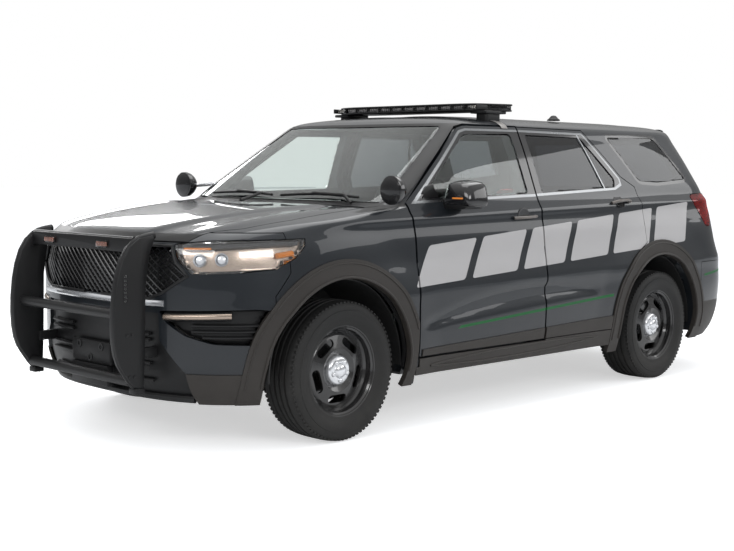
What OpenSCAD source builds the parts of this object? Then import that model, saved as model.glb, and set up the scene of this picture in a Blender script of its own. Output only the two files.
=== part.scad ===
// Patrol car: a five-door sport utility car with a push guard and a roof light bar.
// +Z is up, -Y is the nose, +X is the car's left side, and the ground is z = 0.
// The origin is on the ground under the middle of the overall length, midway between the axles.

/* [Overall] */
// Distance between the front and rear axles
wheelbase = 3025; // [2950:5:3100]
// Distance between the tyre centres of one axle
track = 1702; // [1680:2:1720]
// From the origin to the push guard's front, and to the rear bumper's back
half_length = 2620; // [2600:1:2660]
// Half of the body's width at its widest
body_half_w = 990; // [970:1:1000]
// Height of the roof at its middle
roof_top_z = 1765; // [1740:1:1800]

/* [Wheels] */
// Rolling radius of a tyre
tyre_r = 372; // [360:1:380]
// Width of a tyre
tyre_w = 255; // [225:5:265]
// Radius of the rim's flange
rim_r = 245; // [230:1:250]
// Radius of the wheel bolt circle
bolt_circle_r = 57.15; // [50:0.05:70]
// Radius of a wheel bolt's hole
bolt_hole_r = 7.5; // [6:0.5:9]
// Radius of the hole in the middle of a wheel
hub_bore_r = 35; // [30:0.5:40]
// Number of wheel bolts
bolt_count = 5; // [4:1:6]
// How far the steering axis lies inboard of the wheel's middle
steer_offset = 61; // [50:1:70]

/* [Panels] */
// Gap between a moving panel and its neighbours
panel_gap = 14; // [12:1:18]
// Thickness of the outer layer of a door below the glass
skin_t = 45; // [35:1:55]
// Thickness of the whole door below the glass
door_t = 120; // [100:5:140]
// Thickness of the outer layer of a window frame
frame_skin_t = 30; // [24:1:36]
// Thickness of the whole window frame
frame_t = 62; // [54:1:80]
// How far a door's outer layer overlaps the body flange
flange_w = 34; // [28:1:40]
// Clearance round a door's inner layer
inner_gap = 22; // [18:1:26]
// Gap at the rubber seal between a door and its flange
seal_gap = 0.8; // [0.5:0.1:0.9]
// Thickness of the single-skin panels
panel_t = 24; // [15:1:30]
// Thickness of the glass
glass_t = 6; // [4:1:8]
// Radius of a hinge pin
pin_r = 3; // [2.5:0.1:3.5]
// Radius of a hinge knuckle
knuckle_r = 5.6; // [5.2:0.1:6]
// Clearance of pins and shafts in their bores
fit_gap = 0.3; // [0.2:0.05:0.5]

/* [Wheel arches] */
// Radius of the wheel arch openings
arch_r = 485; // [475:1:500]
// Width of the arch trim seen from the side
arch_trim_w = 105; // [80:1:120]
// How far the arch trim stands proud of the body
arch_trim_proud = 12; // [6:1:16]

/* [Push guard] */
// Distance between the two uprights
guard_w = 940; // [900:5:1000]
// Height of the guard's top
guard_top_z = 1090; // [1050:5:1130]
// Height of the guard's foot
guard_foot_z = 315; // [290:5:340]
// Thickness of the upright plates
guard_plate_t = 56; // [40:1:70]
// Radius of the cross tubes
guard_tube_r = 26; // [20:1:32]

/* [Light bar] */
// Length of the light bar across the roof
bar_len = 1416; // [1200:8:1440]
// Depth of the light bar along the car
bar_depth = 300; // [260:5:340]
// Thickness of the light bar
bar_h = 46; // [40:1:60]
// Gap between the light bar and the roof's middle
bar_lift = 24; // [18:1:40]
// Where the middle of the light bar stands along the car
bar_y = 90; // [40:5:140]

/* [Hidden] */
$fn = 48;

// ---- Body shape ------------------------------------------------------------------------------
front_axle_y = -wheelbase / 2;
rear_axle_y = wheelbase / 2;
wheel_x = track / 2;
hub_z = tyre_r;
far = 4000;         // longer than the car, for cuts that go right through
nose_power = 2.9;   // how square the front corners are, seen from above
tail_power = 3.6;   // how square the rear corners are, seen from above
sill_bottom_z = 290;
belt_z = 1270;
rail_z = 1700;      // the roof panel starts here
cowl_z = 1225;

// The body as level slices.
// Columns: height, front end, length of the front curve, rear end, length of the rear curve, half width
Z = 0; FRONT = 1; FRONT_LEN = 2; REAR = 3; REAR_LEN = 4; HALF_W = 5;
slices = [
    [ 240, -2330,  980, half_length - 110, 520, body_half_w - 60],
    [ 320, -2375,  990, half_length - 50, 540, body_half_w - 30],
    [ 450, -2405, 1000, half_length - 14, 550, body_half_w - 6],
    [ 640, -2412, 1000, half_length, 550, body_half_w],
    [ 800, -2412, 1000, half_length - 30, 540, body_half_w],
    [ 950, -2405, 1000, half_length - 90, 520, body_half_w - 10],
    [1040, -2385, 1000, half_length - 112, 500, body_half_w - 24],
    [1085, -2330,  970, half_length - 122, 480, body_half_w - 35],
    [1120, -2200,  880, half_length - 130, 470, body_half_w - 44],
    [1160, -1950,  700, half_length - 140, 460, body_half_w - 54],
    [1195, -1620,  480, half_length - 152, 450, body_half_w - 64],
    [cowl_z, -1192, 250, half_length - 166, 440, body_half_w - 74],
    [belt_z, -1121, 235, half_length - 190, 430, body_half_w - 93],
    [1360, -979, 210, half_length - 245, 420, body_half_w - 127],
    [1500, -757, 170, half_length - 330, 400, body_half_w - 180],
    [1620, -567, 140, half_length - 405, 380, body_half_w - 232],
    [rail_z, -440, 130, half_length - 450, 370, body_half_w - 275],
    [roof_top_z - 36, -370, 200, half_length - 480, 400, body_half_w - 360],
    [roof_top_z - 16, -230, 350, half_length - 560, 450, body_half_w - 510],
    [roof_top_z, 60, 500, half_length - 820, 600, body_half_w - 740]
];
low_rows = [for (s = slices) if (s[Z] <= 1120) s];
nose_rows = [for (s = slices) if (s[Z] >= 950 && s[Z] <= cowl_z) s];
side_rows = [for (s = slices) if (s[Z] >= 240 && s[Z] <= rail_z) s];
cabin_rows = [for (s = slices) if (s[Z] >= 1195 && s[Z] <= rail_z) s];
roof_rows = [for (s = slices) if (s[Z] >= rail_z) s];
gate_rows = [for (s = slices) if (s[Z] >= 640) s];
arch_rows = [for (s = slices) if (s[Z] <= 1160) s];

// Half of a slice's outline, from the middle of the nose to the middle of the tail
function half_outline(s, inset, steps = 7) =
    let (hw = s[HALF_W] - inset, p = 2 / nose_power, q = 2 / tail_power)
    concat([for (i = [0 : steps]) let (a = 90 * i / steps)
                [hw * pow(sin(a), p), s[FRONT] + inset + s[FRONT_LEN] * (1 - pow(cos(a), p))]],
           [for (i = [steps : -1 : 0]) let (a = 90 * i / steps)
                [hw * pow(sin(a), q), s[REAR] - inset - s[REAR_LEN] * (1 - pow(cos(a), q))]]);
// How far the skin lies in at a height: one value below the belt line, another above it
function depth_at(z, low, high) = z <= belt_z ? low : high;

// A solid through a stack of level slices, taken in by inset
module slice_stack(rows, inset = 0) {
    rings = [for (s = rows) let (h = half_outline(s, inset))
        concat([for (p = h) [p[0], p[1], s[Z]]],
               [for (i = [len(h) - 2 : -1 : 1]) [-h[i][0], h[i][1], s[Z]]])];
    n = len(rings[0]);
    walls = [for (k = [0 : len(rings) - 2]) for (i = [0 : n - 1])
        let (j = (i + 1) % n, a = k * n + i, b = k * n + j, c = b + n, d = a + n)
        each [[a, d, c], [a, c, b]]];
    bottom = [[for (i = [0 : n - 1]) i]];
    top = [[for (i = [n - 1 : -1 : 0]) (len(rings) - 1) * n + i]];
    polyhedron(points = [for (r = rings) for (p = r) p], faces = concat(bottom, walls, top), convexity = 6);
}
// The left half of the skin as a wall between two depths, each given below and above the belt line
module half_wall(rows, from_low, to_low, from_high, to_high) {
    outer = [for (s = rows) [for (p = half_outline(s, depth_at(s[Z], from_low, from_high))) [p[0], p[1], s[Z]]]];
    inner = [for (s = rows) [for (p = half_outline(s, depth_at(s[Z], to_low, to_high))) [p[0], p[1], s[Z]]]];
    m = len(rows);
    n = len(outer[0]);
    function at(side, k, i) = (side * m + k) * n + i;
    sheets = [for (k = [0 : m - 2]) for (i = [0 : n - 2]) each [
        [at(0, k, i), at(0, k + 1, i), at(0, k + 1, i + 1)], [at(0, k, i), at(0, k + 1, i + 1), at(0, k, i + 1)],
        [at(1, k, i), at(1, k + 1, i + 1), at(1, k + 1, i)], [at(1, k, i), at(1, k, i + 1), at(1, k + 1, i + 1)]]];
    ends = [for (k = [0 : m - 2]) each [
        [at(0, k, 0), at(1, k + 1, 0), at(0, k + 1, 0)], [at(0, k, 0), at(1, k, 0), at(1, k + 1, 0)],
        [at(0, k, n - 1), at(0, k + 1, n - 1), at(1, k + 1, n - 1)],
        [at(0, k, n - 1), at(1, k + 1, n - 1), at(1, k, n - 1)]]];
    rims = [for (i = [0 : n - 2]) each [
        [at(0, 0, i), at(0, 0, i + 1), at(1, 0, i + 1), at(1, 0, i)],
        [at(0, m - 1, i), at(1, m - 1, i), at(1, m - 1, i + 1), at(0, m - 1, i + 1)]]];
    polyhedron(points = concat([for (r = outer) for (p = r) p], [for (r = inner) for (p = r) p]),
               faces = concat(sheets, ends, rims), convexity = 8);
}
// The space between two stacks, open below
module shell(rows, t, inset = 0) {
    lower = concat([[for (i = [0 : 5]) i == Z ? rows[0][Z] - 1 : rows[0][i]]],
                   [for (i = [1 : len(rows) - 1]) rows[i]]);
    difference() {
        slice_stack(rows, inset);
        slice_stack(lower, inset + t);
    }
}
// A side view outline in (y, z), made solid from x = from to x = to
module side_cut(from = 0, to = far) {
    translate([from, 0, 0]) rotate([90, 0, 90]) linear_extrude(height = to - from) children();
}
// A front view outline in (x, z), made solid from y = from to y = to
module front_cut(from, to) {
    translate([0, to, 0]) rotate([90, 0, 0]) linear_extrude(height = to - from) children();
}
module both_sides() {
    children();
    mirror([1, 0, 0]) children();
}
module on_side(side) {
    if (side > 0) children();
    else mirror([1, 0, 0]) children();
}

// ---- Panel outlines --------------------------------------------------------------------------
door_front_y = -950;    // the gap between the fender and the front door
b_gap_y = 208;          // the gap between the doors
door_bottom_z = 400;
arch_clear = arch_r + arch_trim_w + 3;
door_axis_x = body_half_w - 9;
gate_axis_y = half_length - 590;
gate_axis_z = roof_top_z - 13;
hood_axis_y = -1205;
hood_axis_z = 1206;
hood_front_z = 1058;
half_gap = panel_gap / 2;

module front_door_outline() {
    polygon([[door_front_y + half_gap, door_bottom_z], [door_front_y + half_gap, 1243],
             [-374, 1668], [-300, 1684],
             [b_gap_y - half_gap, 1688], [b_gap_y - half_gap, door_bottom_z]]);
}
module rear_door_outline() {
    difference() {
        polygon([[b_gap_y + half_gap, door_bottom_z], [b_gap_y + half_gap, 1688], [900, 1684],
                 [1185, 1385], [1322, 1315], [1345, 1200], [1345, 700], [1200, door_bottom_z]]);
        translate([rear_axle_y, hub_z]) circle(r = arch_clear);
    }
}
module front_window_outline() {
    polygon([[-860, 1262], [-335, 1636], [b_gap_y - 85, 1648], [b_gap_y - 75, 1284]]);
}
module rear_window_outline() {
    polygon([[b_gap_y + 65, 1288], [b_gap_y + 60, 1646], [855, 1640], [1110, 1372], [1090, 1318]]);
}
module quarter_window_outline() {
    polygon([[1165, 1640], [1735, 1646], [1975, 1385], [1625, 1352], [1400, 1362]]);
}
// The wheel opening in a side view, open below
module wheel_opening(axle_y, r = arch_r) {
    translate([axle_y, hub_z]) circle(r = r);
    translate([axle_y - r, -200]) square([2 * r, 200 + hub_z]);
}
module hood_outline(grow = 0) {
    front = -2600;
    polygon([[-560 - grow, front], [560 + grow, front], [605 + grow, -2290], [745 + grow, -2010],
             [800 + grow, -1750], [822 + grow, -1400], [822 + grow, hood_axis_y + half_gap - 10 + grow],
             [-822 - grow, hood_axis_y + half_gap - 10 + grow], [-822 - grow, -1400], [-800 - grow, -1750],
             [-745 - grow, -2010], [-605 - grow, -2290]]);
}
// The liftgate seen from behind
module gate_outline(grow = 0) {
    right = [[790 - grow, 770 + grow], [1030, 800 + grow], [1200, 760 + grow], [1400, 748 + grow],
             [1640, 688 + grow], [1900, 600 + grow]];
    polygon(concat([for (g = right) [g[1], g[0]]], [for (i = [len(right) - 1 : -1 : 0]) [-right[i][1], right[i][0]]]));
}
// What the liftgate takes up in a side view; the cargo space lies ahead of it
module gate_depth_outline() {
    y = gate_axis_y;
    polygon([[y + 8, 1800], [y + 8, 1690], [y + 75, 1680], [y + 215, 1400], [y + 335, 1200], [y + 400, 790],
             [y + 700, 790], [y + 700, 1800]]);
}
module gate_window_outline() {
    polygon([[-660, 1300], [660, 1300], [585, 1630], [-585, 1630]]);
}
module windscreen_outline(grow = 0) {
    polygon([[-810 - grow, 1232 - grow], [810 + grow, 1232 - grow], [655 + grow, 1690 + grow],
             [-655 - grow, 1690 + grow]]);
}
module headlamp_outline(grow = 0) {
    offset(delta = grow) polygon([[562, 1044], [600, 960], [673, 900], [830, 908], [1200, 985], [1200, 1078], [700, 1062]]);
}
module tail_lamp_outline(grow = 0) {
    offset(delta = grow) polygon([[2000, 1240], [2040, 1265], [2700, 1275], [2700, 1180], [2260, 1100], [2205, 1035],
                                  [2150, 1040], [2070, 1155]]);
}
module grille_outline(grow = 0) {
    offset(delta = grow) polygon([[-552, 1035], [552, 1035], [590, 950], [650, 890], [520, 800], [440, 770],
                                  [-440, 770], [-520, 800], [-650, 890], [-590, 950]]);
}
module intake_outline() {
    polygon([[-480, 640], [480, 640], [440, 420], [-440, 420]]);
}

// ---- Colours ---------------------------------------------------------------------------------
paint = [0.16, 0.18, 0.20];
trim_black = [0.07, 0.07, 0.075];
cladding = [0.17, 0.155, 0.14];
dark_glass = [0.12, 0.13, 0.14, 0.8];
clear_glass = [0.75, 0.80, 0.82, 0.35];
steel = [0.45, 0.46, 0.48];
rubber = [0.05, 0.05, 0.052];
cloth = [0.20, 0.20, 0.21];

// ---- Hinges ----------------------------------------------------------------------------------
knuckle_len = 36;
// Three knuckles stacked along +Z on the hinge axis; the middle one belongs to the fixed side.
// The fixed side lies toward -Y and the moving side toward +Y.
module fixed_knuckle(reach) {
    difference() {
        union() {
            translate([0, 0, -knuckle_len / 2]) cylinder(r = knuckle_r, h = knuckle_len);
            translate([-knuckle_r, -reach, -knuckle_len / 2]) cube([knuckle_r, reach, knuckle_len]);
        }
        translate([0, 0, -knuckle_len]) cylinder(r = pin_r + fit_gap, h = 2 * knuckle_len);
    }
}
module moving_knuckles(reach) {
    translate([0, 0, -knuckle_len]) cylinder(r = pin_r, h = 2 * knuckle_len);
    for (end = [-1, 1]) translate([0, 0, end * (knuckle_len + fit_gap) - knuckle_len / 2]) {
        cylinder(r = knuckle_r, h = knuckle_len);
        translate([-knuckle_r, 0, 0]) cube([knuckle_r, reach, knuckle_len]);
    }
}
front_hinge_z = [520, 860];
rear_hinge_z = [560, 860];
gate_hinge_x = [-220, 220];
hood_hinge_x = [-700, 700];

// ---- Doors -----------------------------------------------------------------------------------
// A door: an outer layer of the whole outline, and an inner layer that clears the body flange
module door_blank() {
    intersection() {
        half_wall(side_rows, 0, skin_t, 0, frame_skin_t);
        side_cut() children();
    }
    intersection() {
        half_wall(side_rows, skin_t - 1, door_t, frame_skin_t - 1, frame_t);
        side_cut() offset(delta = -flange_w) children();
    }
}
module front_door(side) {
    color(paint) on_side(side) {
        difference() {
            door_blank() front_door_outline();
            side_cut() front_window_outline();
        }
        for (z = front_hinge_z) translate([door_axis_x, door_front_y, z]) moving_knuckles(half_gap + 4);
    }
}
module rear_door(side) {
    color(paint) on_side(side) {
        difference() {
            door_blank() rear_door_outline();
            side_cut() rear_window_outline();
        }
        for (z = rear_hinge_z) translate([door_axis_x, b_gap_y, z]) moving_knuckles(half_gap + 4);
    }
}
// A pane that stands inside its frame, a little smaller than the window
module pane(glass_color) {
    color(glass_color) intersection() {
        half_wall(side_rows, 20, 20 + glass_t, 12, 12 + glass_t);
        side_cut() offset(delta = -seal_gap) children();
    }
}
module front_glass(side) {
    on_side(side) pane(clear_glass) front_window_outline();
}
module rear_glass(side) {
    on_side(side) pane(dark_glass) rear_window_outline();
}
mirror_y = -465;
module mirror_body(side) {
    color(trim_black) on_side(side) {
        difference() {
            translate([902, mirror_y - 190, 1170]) hull() {
                translate([60, 0, 30]) cube([150, 60, 150]);
                translate([30, 60, 20]) cube([200, 70, 170]);
                translate([40, 130, 35]) cube([185, 15, 140]);
            }
            translate([960, mirror_y - 48, 1220]) cube([160, 20, 125]);
        }
        difference() {
            translate([820, mirror_y - 175, 1180]) cube([145, 90, 45]);
            slice_stack([for (s = side_rows) if (s[Z] >= 1120) s]);
        }
    }
}

// ---- Fixed body ------------------------------------------------------------------------------
module body_sides() {
    color(paint) both_sides() difference() {
        union() {
            difference() {
                half_wall(side_rows, 0, skin_t + 2, 0, frame_skin_t + 2);
                side_cut() {
                    offset(delta = panel_gap) front_door_outline();
                    offset(delta = panel_gap) rear_door_outline();
                }
                translate([0, -far, 0]) cube([far, far + door_front_y, cowl_z]);
            }
            intersection() {
                half_wall(side_rows, skin_t + seal_gap, door_t, frame_skin_t + seal_gap, frame_t);
                translate([0, door_front_y - 50, sill_bottom_z]) cube([far, 2500, 2000]);
            }
        }
        // door apertures, windows, wheel opening and lamps
        side_cut() offset(delta = inner_gap - flange_w) front_door_outline();
        side_cut() offset(delta = inner_gap - flange_w) rear_door_outline();
        side_cut() quarter_window_outline();
        side_cut() wheel_opening(rear_axle_y);
        side_cut() tail_lamp_outline(1);
        // room for the fenders, the rear bumper, the liftgate, the windscreen and the cabin
        translate([0, -far, 0]) cube([far, far + door_front_y - 50, cowl_z]);
        translate([0, door_front_y - 60, cowl_z - 30]) cube([far, 60 - half_gap, 30]);
        translate([-1, -far, 0]) cube([400, 2 * far, 2000]);
        translate([0, -far, 0]) cube([far, 2 * far, sill_bottom_z]);
        front_cut(gate_axis_y - 8, far) gate_outline(panel_gap);
        front_cut(-1300, -300) windscreen_outline(1);
        translate([0, 2050, 0]) cube([far, far, 791]);
    }
}
// A skin of even thickness on a stack, measured inward and downward
module thick_shell(rows, t) {
    lower = concat([[for (i = [0 : 5]) i == Z ? rows[0][Z] - 5 : rows[0][i]]], rows);
    difference() {
        slice_stack(rows);
        translate([0, 0, -t]) slice_stack(lower, t);
    }
}
module roof_panel() {
    color(paint) intersection() {
        thick_shell(roof_rows, panel_t);
        translate([-far, -far, 0]) cube([2 * far, far + gate_axis_y - 8, far]);
    }
    color(paint) for (x = gate_hinge_x) translate([x, gate_axis_y, gate_axis_z]) rotate([0, -90, 0])
        fixed_knuckle(14);
}
// What the bumper takes from the fender, as a side view
module bumper_outline() {
    polygon([[-2700, 200], [-1960, 200], [-1960, 790], [-1870, 905], [-1870, 1100], [-2700, 1100]]);
}
module front_fenders() {
    color(paint) both_sides() difference() {
        intersection() {
            thick_shell([for (s = slices) if (s[Z] >= 320 && s[Z] <= cowl_z) s], panel_t);
            translate([300, -far, 340]) cube([far, far + door_front_y - half_gap, far]);
        }
        side_cut() bumper_outline();
        side_cut() wheel_opening(front_axle_y);
        side_cut() offset(delta = panel_gap) front_door_outline();
        front_cut(-2600, -1765) headlamp_outline(1);
        translate([0, 0, 900]) linear_extrude(height = 800) hood_outline(half_gap);
        translate([0, -1204, 700]) cube([816, 400, 800]);
    }
    color(paint) both_sides() for (z = front_hinge_z) translate([door_axis_x, door_front_y, z])
        fixed_knuckle(half_gap + 4);
}
// Number plate bracket: its face, middle height, width and holes
plate_face_y = -2420;
plate_z = 345;
plate_w = 330;
plate_hole_pitch = 177.8;
plate_hole_r = 3.5;
module front_bumper() {
    color(paint) difference() {
        intersection() {
            shell([for (s = slices) if (s[Z] <= 1085) s], panel_t);
            union() {
                side_cut(-far, far) intersection() {
                    bumper_outline();
                    polygon([[-2700, 240], [-1800, 240], [-1800, 904], [-2700, 904]]);
                }
                translate([-600, -2600, 240]) cube([1200, 500, hood_front_z - 247]);
            }
        }
        both_sides() {
            side_cut() wheel_opening(front_axle_y);
            front_cut(-2600, -1765) headlamp_outline(1);
        }
        front_cut(-2600, -1765) {
            grille_outline(1);
            intake_outline();
        }
        both_sides() translate([guard_w / 2 - 45, -2600, 455]) cube([90, 900, 90]);
    }
    color(trim_black) difference() {
        translate([-plate_w / 2, plate_face_y, plate_z - 55]) cube([plate_w, 45, 110]);
        for (end = [-1, 1]) translate([end * plate_hole_pitch / 2, plate_face_y - 1, plate_z])
            rotate([-90, 0, 0]) cylinder(r = plate_hole_r, h = 26);
    }
}
module rear_bumper() {
    color(paint) difference() {
        shell([for (s = slices) if (s[Z] <= 800) s], 60);
        translate([-far, -far, 0]) cube([2 * far, far + 2051, far]);
        translate([-far, 0, 790 - half_gap]) cube([2 * far, far, far]);
    }
}
module grille() {
    color(trim_black) difference() {
        intersection() {
            shell([for (s = slices) if (s[Z] >= 640 && s[Z] <= 1085) s], 12, 14);
            front_cut(-2600, -2100) grille_outline(0);
        }
        for (k = [-6 : 6]) front_cut(-2600, -2000)
            for (row = [0 : 3]) translate([k * 62 + (row % 2) * 31, 812 + row * 52]) circle(r = 24, $fn = 6);
    }
}
module front_lamps() {
    color(clear_glass) difference() {
        both_sides() intersection() {
            shell([for (s = slices) if (s[Z] >= 800 && s[Z] <= 1120) s], 60);
            front_cut(-2600, -1766) headlamp_outline(0);
        }
        translate([0, 0, hood_front_z - seal_gap]) linear_extrude(height = 200) hood_outline(seal_gap);
    }
}
module tail_lamps() {
    color([0.6, 0.03, 0.03]) both_sides() difference() {
        intersection() {
            half_wall([for (s = slices) if (s[Z] >= 950 && s[Z] <= 1360) s], 0, skin_t, 0, skin_t);
            side_cut() tail_lamp_outline(0);
        }
        front_cut(gate_axis_y - 8, far) gate_outline(panel_gap);
    }
}
module windscreen() {
    rows = [for (s = slices) if (s[Z] >= cowl_z && s[Z] <= rail_z) s];
    color(clear_glass) intersection() {
        shell(rows, glass_t, 8);
        front_cut(-1300, -300) windscreen_outline(0);
    }
}
module quarter_glass() {
    both_sides() pane(dark_glass) quarter_window_outline();
}
module bulkhead() {
    color(trim_black) {
        translate([-485, -1040, 345]) cube([970, 38, 300]);
        translate([-780, -1040, 500]) cube([1560, 38, 645]);
        intersection() {
            slice_stack(nose_rows);
            translate([-815, hood_axis_y + 8, 1140]) cube([1630, -1002 - hood_axis_y - 8, 200]);
        }
        for (x = hood_hinge_x) translate([x, hood_axis_y, hood_axis_z]) rotate([0, 90, 0]) rotate([0, 0, 180])
            fixed_knuckle(12);
    }
}
module arch_trims() {
    color(cladding) both_sides() intersection() {
        half_wall(arch_rows, -arch_trim_proud, -seal_gap, 0, 0);
        side_cut() for (y = [front_axle_y, rear_axle_y]) difference() {
            translate([y, hub_z]) circle(r = arch_r + arch_trim_w, $fn = 96);
            wheel_opening(y, arch_r);
            translate([y - 1000, -1000]) square([2000, 1000 + sill_bottom_z + 60]);
            offset(delta = panel_gap) front_door_outline();
        }
    }
}
module liner(y, inner_x, slot_top) {
    translate([0, y, hub_z]) difference() {
        rotate([0, 90, 0]) difference() {
            translate([0, 0, inner_x]) cylinder(r = arch_r - 0.5, h = 920 - inner_x, $fn = 96);
            translate([0, 0, inner_x + 6]) cylinder(r = arch_r - 8, h = 920, $fn = 96);
        }
        translate([0, -far / 2, -far]) cube([far, far, far - 20]);
        // the arms and the strut's seat reach through here
        translate([inner_x - 10, -115, -30]) cube([30, 230, 30 + slot_top - hub_z]);
    }
}
module arch_liners() {
    color(rubber) both_sides() {
        liner(front_axle_y, 494, 830);
        liner(rear_axle_y, 640, 480);
    }
}
module floor_pan() {
    color(trim_black) {
        intersection() {
            slice_stack(low_rows, door_t + seal_gap);
            translate([-far, -1001, 300]) cube([2 * far, 1980, 44]);
        }
        side_cut(-630, 630) polygon([[970, 301], [979, 301], [1090, 560], [2490, 589], [2490, 620], [1060, 600],
                                     [950, 343], [970, 343]]);
    }
}

// ---- Running gear ----------------------------------------------------------------------------
arm_rise = 150;      // from a wheel's centre to the ball pins above and below it
kingpin_x = wheel_x - steer_offset;
ball_r = 8;
rail_x = 420;
rail_w = 80;
rail_floor_z = 400;
beam_y = -2290;      // front of the bumper beam, which carries the push guard
module front_frame() {
    color(trim_black) {
        both_sides() {
            translate([rail_x - rail_w / 2, beam_y + 49, rail_floor_z]) cube([rail_w, -1041 - beam_y - 49, 120]);
            difference() {
                translate([rail_x + rail_w / 2 - 30, front_axle_y - 110, rail_floor_z]) cube([210, 220, 425]);
                translate([rail_x + rail_w / 2, front_axle_y - 300, rail_floor_z - 10]) cube([300, 600, 415]);
            }
        }
        translate([-560, beam_y, 440]) cube([1120, 50, 120]);
        translate([-340, -2180, 380]) cube([680, 40, 560]);
        translate([-381, -2180, 410]) cube([762, 40, 30]);
    }
}
module engine_block() {
    color(steel) {
        translate([-340, -1900, 330]) cube([680, 560, 500]);
        translate([-300, -1860, 829]) cube([600, 420, 90]);
        translate([-379.5, -1700, 440]) cube([759, 60, 50]);
    }
}
module front_suspension() {
    color(steel) both_sides() {
        translate([-1, front_axle_y - 90, 200]) cube([400, 180, 40]);
        translate([rail_x - 35, front_axle_y - 60, 239]) cube([50, 120, rail_floor_z - 239.5]);
        // lower arm and its ball pin
        translate([0, front_axle_y, 0]) {
            translate([380, -30, hub_z - arm_rise - 26]) cube([kingpin_x - 380, 60, 25]);
            translate([kingpin_x, 0, hub_z - arm_rise - 26]) {
                cylinder(r = 30, h = 25);
                cylinder(r = ball_r, h = 50);
            }
            translate([rail_x + rail_w / 2, -25, hub_z + arm_rise + 1]) cube([kingpin_x - rail_x - rail_w / 2, 50, 25]);
            translate([kingpin_x, 0, hub_z + arm_rise + 1]) {
                cylinder(r = 30, h = 25);
                translate([0, 0, -24]) cylinder(r = ball_r, h = 30);
            }
            translate([600, 0, hub_z + arm_rise + 20]) cylinder(r = 40, h = 804 - hub_z - arm_rise - 20);
        }
    }
}
// The part of an axle that carries a wheel: from the upright at x0 to the wheel's outer face
module spindle() {
    rotate([0, 90, 0]) {
        translate([0, 0, kingpin_x - 12]) cylinder(r = 60, h = 22);
        translate([0, 0, kingpin_x]) cylinder(r = hub_bore_r - fit_gap, h = 915 - kingpin_x);
    }
}
module front_knuckle(side) {
    color(steel) on_side(side) translate([0, front_axle_y, hub_z]) {
        spindle();
        difference() {
            union() {
                translate([kingpin_x - 12, -26, -arm_rise]) cube([22, 52, 2 * arm_rise]);
                translate([kingpin_x, 0, -arm_rise]) cylinder(r = 20, h = 30);
                translate([kingpin_x, 0, arm_rise - 30]) cylinder(r = 20, h = 30);
            }
            translate([kingpin_x, 0, -arm_rise - 1]) cylinder(r = ball_r + fit_gap, h = 36);
            translate([kingpin_x, 0, arm_rise - 35]) cylinder(r = ball_r + fit_gap, h = 36);
        }
        caliper();
    }
}
disc_x = 822;
disc_r = 165;
module caliper() {
    difference() {
        translate([kingpin_x - 12, 50, -50]) cube([70, 140, 100]);
        rotate([0, 90, 0]) {
            translate([0, 0, disc_x - 3]) cylinder(r = disc_r + 6, h = 28);
            translate([0, 0, disc_x]) cylinder(r = disc_r - 55, h = 60);
        }
        translate([kingpin_x + 10, 0, -60]) cube([disc_x - kingpin_x - 14, disc_r - 60, 120]);
    }
}
module rear_suspension() {
    color(steel) {
        translate([-420, rear_axle_y - 150, 330]) cube([840, 60, 90]);
        translate([-420, rear_axle_y + 90, 330]) cube([840, 60, 90]);
        both_sides() {
            translate([360, rear_axle_y - 150, 330]) cube([60, 300, 90]);
            translate([370, rear_axle_y - 120, 419]) cube([50, 60, 146.8]);
            translate([0, rear_axle_y, hub_z]) {
                spindle();
                translate([410, -25, -12]) cube([kingpin_x - 410, 50, 24]);
                translate([kingpin_x - 12, -26, -90]) cube([22, 52, 180]);
                caliper();
            }
        }
    }
}
// The rim's section, as (distance from the axis, distance outboard of the wheel's middle)
rim_half_w = 105;
module rim_section() {
    polygon([[rim_r, -rim_half_w], [rim_r, -rim_half_w + 8], [rim_r - 15, -rim_half_w + 16], [rim_r - 20, -40],
             [rim_r - 32, -20], [rim_r - 32, 40], [rim_r - 18, 60], [rim_r - 15, rim_half_w - 16],
             [rim_r, rim_half_w - 8], [rim_r, rim_half_w], [rim_r - 8, rim_half_w], [rim_r - 24, rim_half_w - 14],
             [rim_r - 28, 60], [rim_r - 42, 40], [rim_r - 42, -24], [rim_r - 28, -46],
             [rim_r - 24, -rim_half_w + 12], [rim_r - 8, -rim_half_w]]);
}
// The wheel's dished face
module disc_section() {
    polygon([[0, 44], [80, 44], [110, 62], [185, 44], [rim_r - 38, 30], [rim_r - 38, 44], [185, 58], [112, 76],
             [78, 58], [60, 78], [0, 78]]);
}
module wheel(side, axle_y) {
    color(rubber) on_side(side) translate([wheel_x, axle_y, hub_z]) rotate([0, 90, 0]) difference() {
        union() {
            rotate_extrude($fn = 96) rim_section();
            rotate_extrude($fn = 96) disc_section();
            translate([0, 0, disc_x - wheel_x]) cylinder(r = disc_r, h = 22, $fn = 96);
            translate([0, 0, disc_x - wheel_x]) cylinder(r = 76, h = 44 - disc_x + wheel_x);
        }
        translate([0, 0, -rim_half_w]) cylinder(r = hub_bore_r, h = 300);
        for (k = [0 : bolt_count - 1]) rotate([0, 0, 360 * (k + 0.5) / bolt_count])
            translate([bolt_circle_r, 0, 30]) cylinder(r = bolt_hole_r, h = 80);
        for (k = [0 : 4]) rotate([0, 0, 72 * k]) translate([150, 0, 27]) linear_extrude(height = 70) {
            square([44, 84], center = true);
            translate([0, 42]) circle(r = 22);
            translate([0, -42]) circle(r = 22);
        }
    }
}
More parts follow.
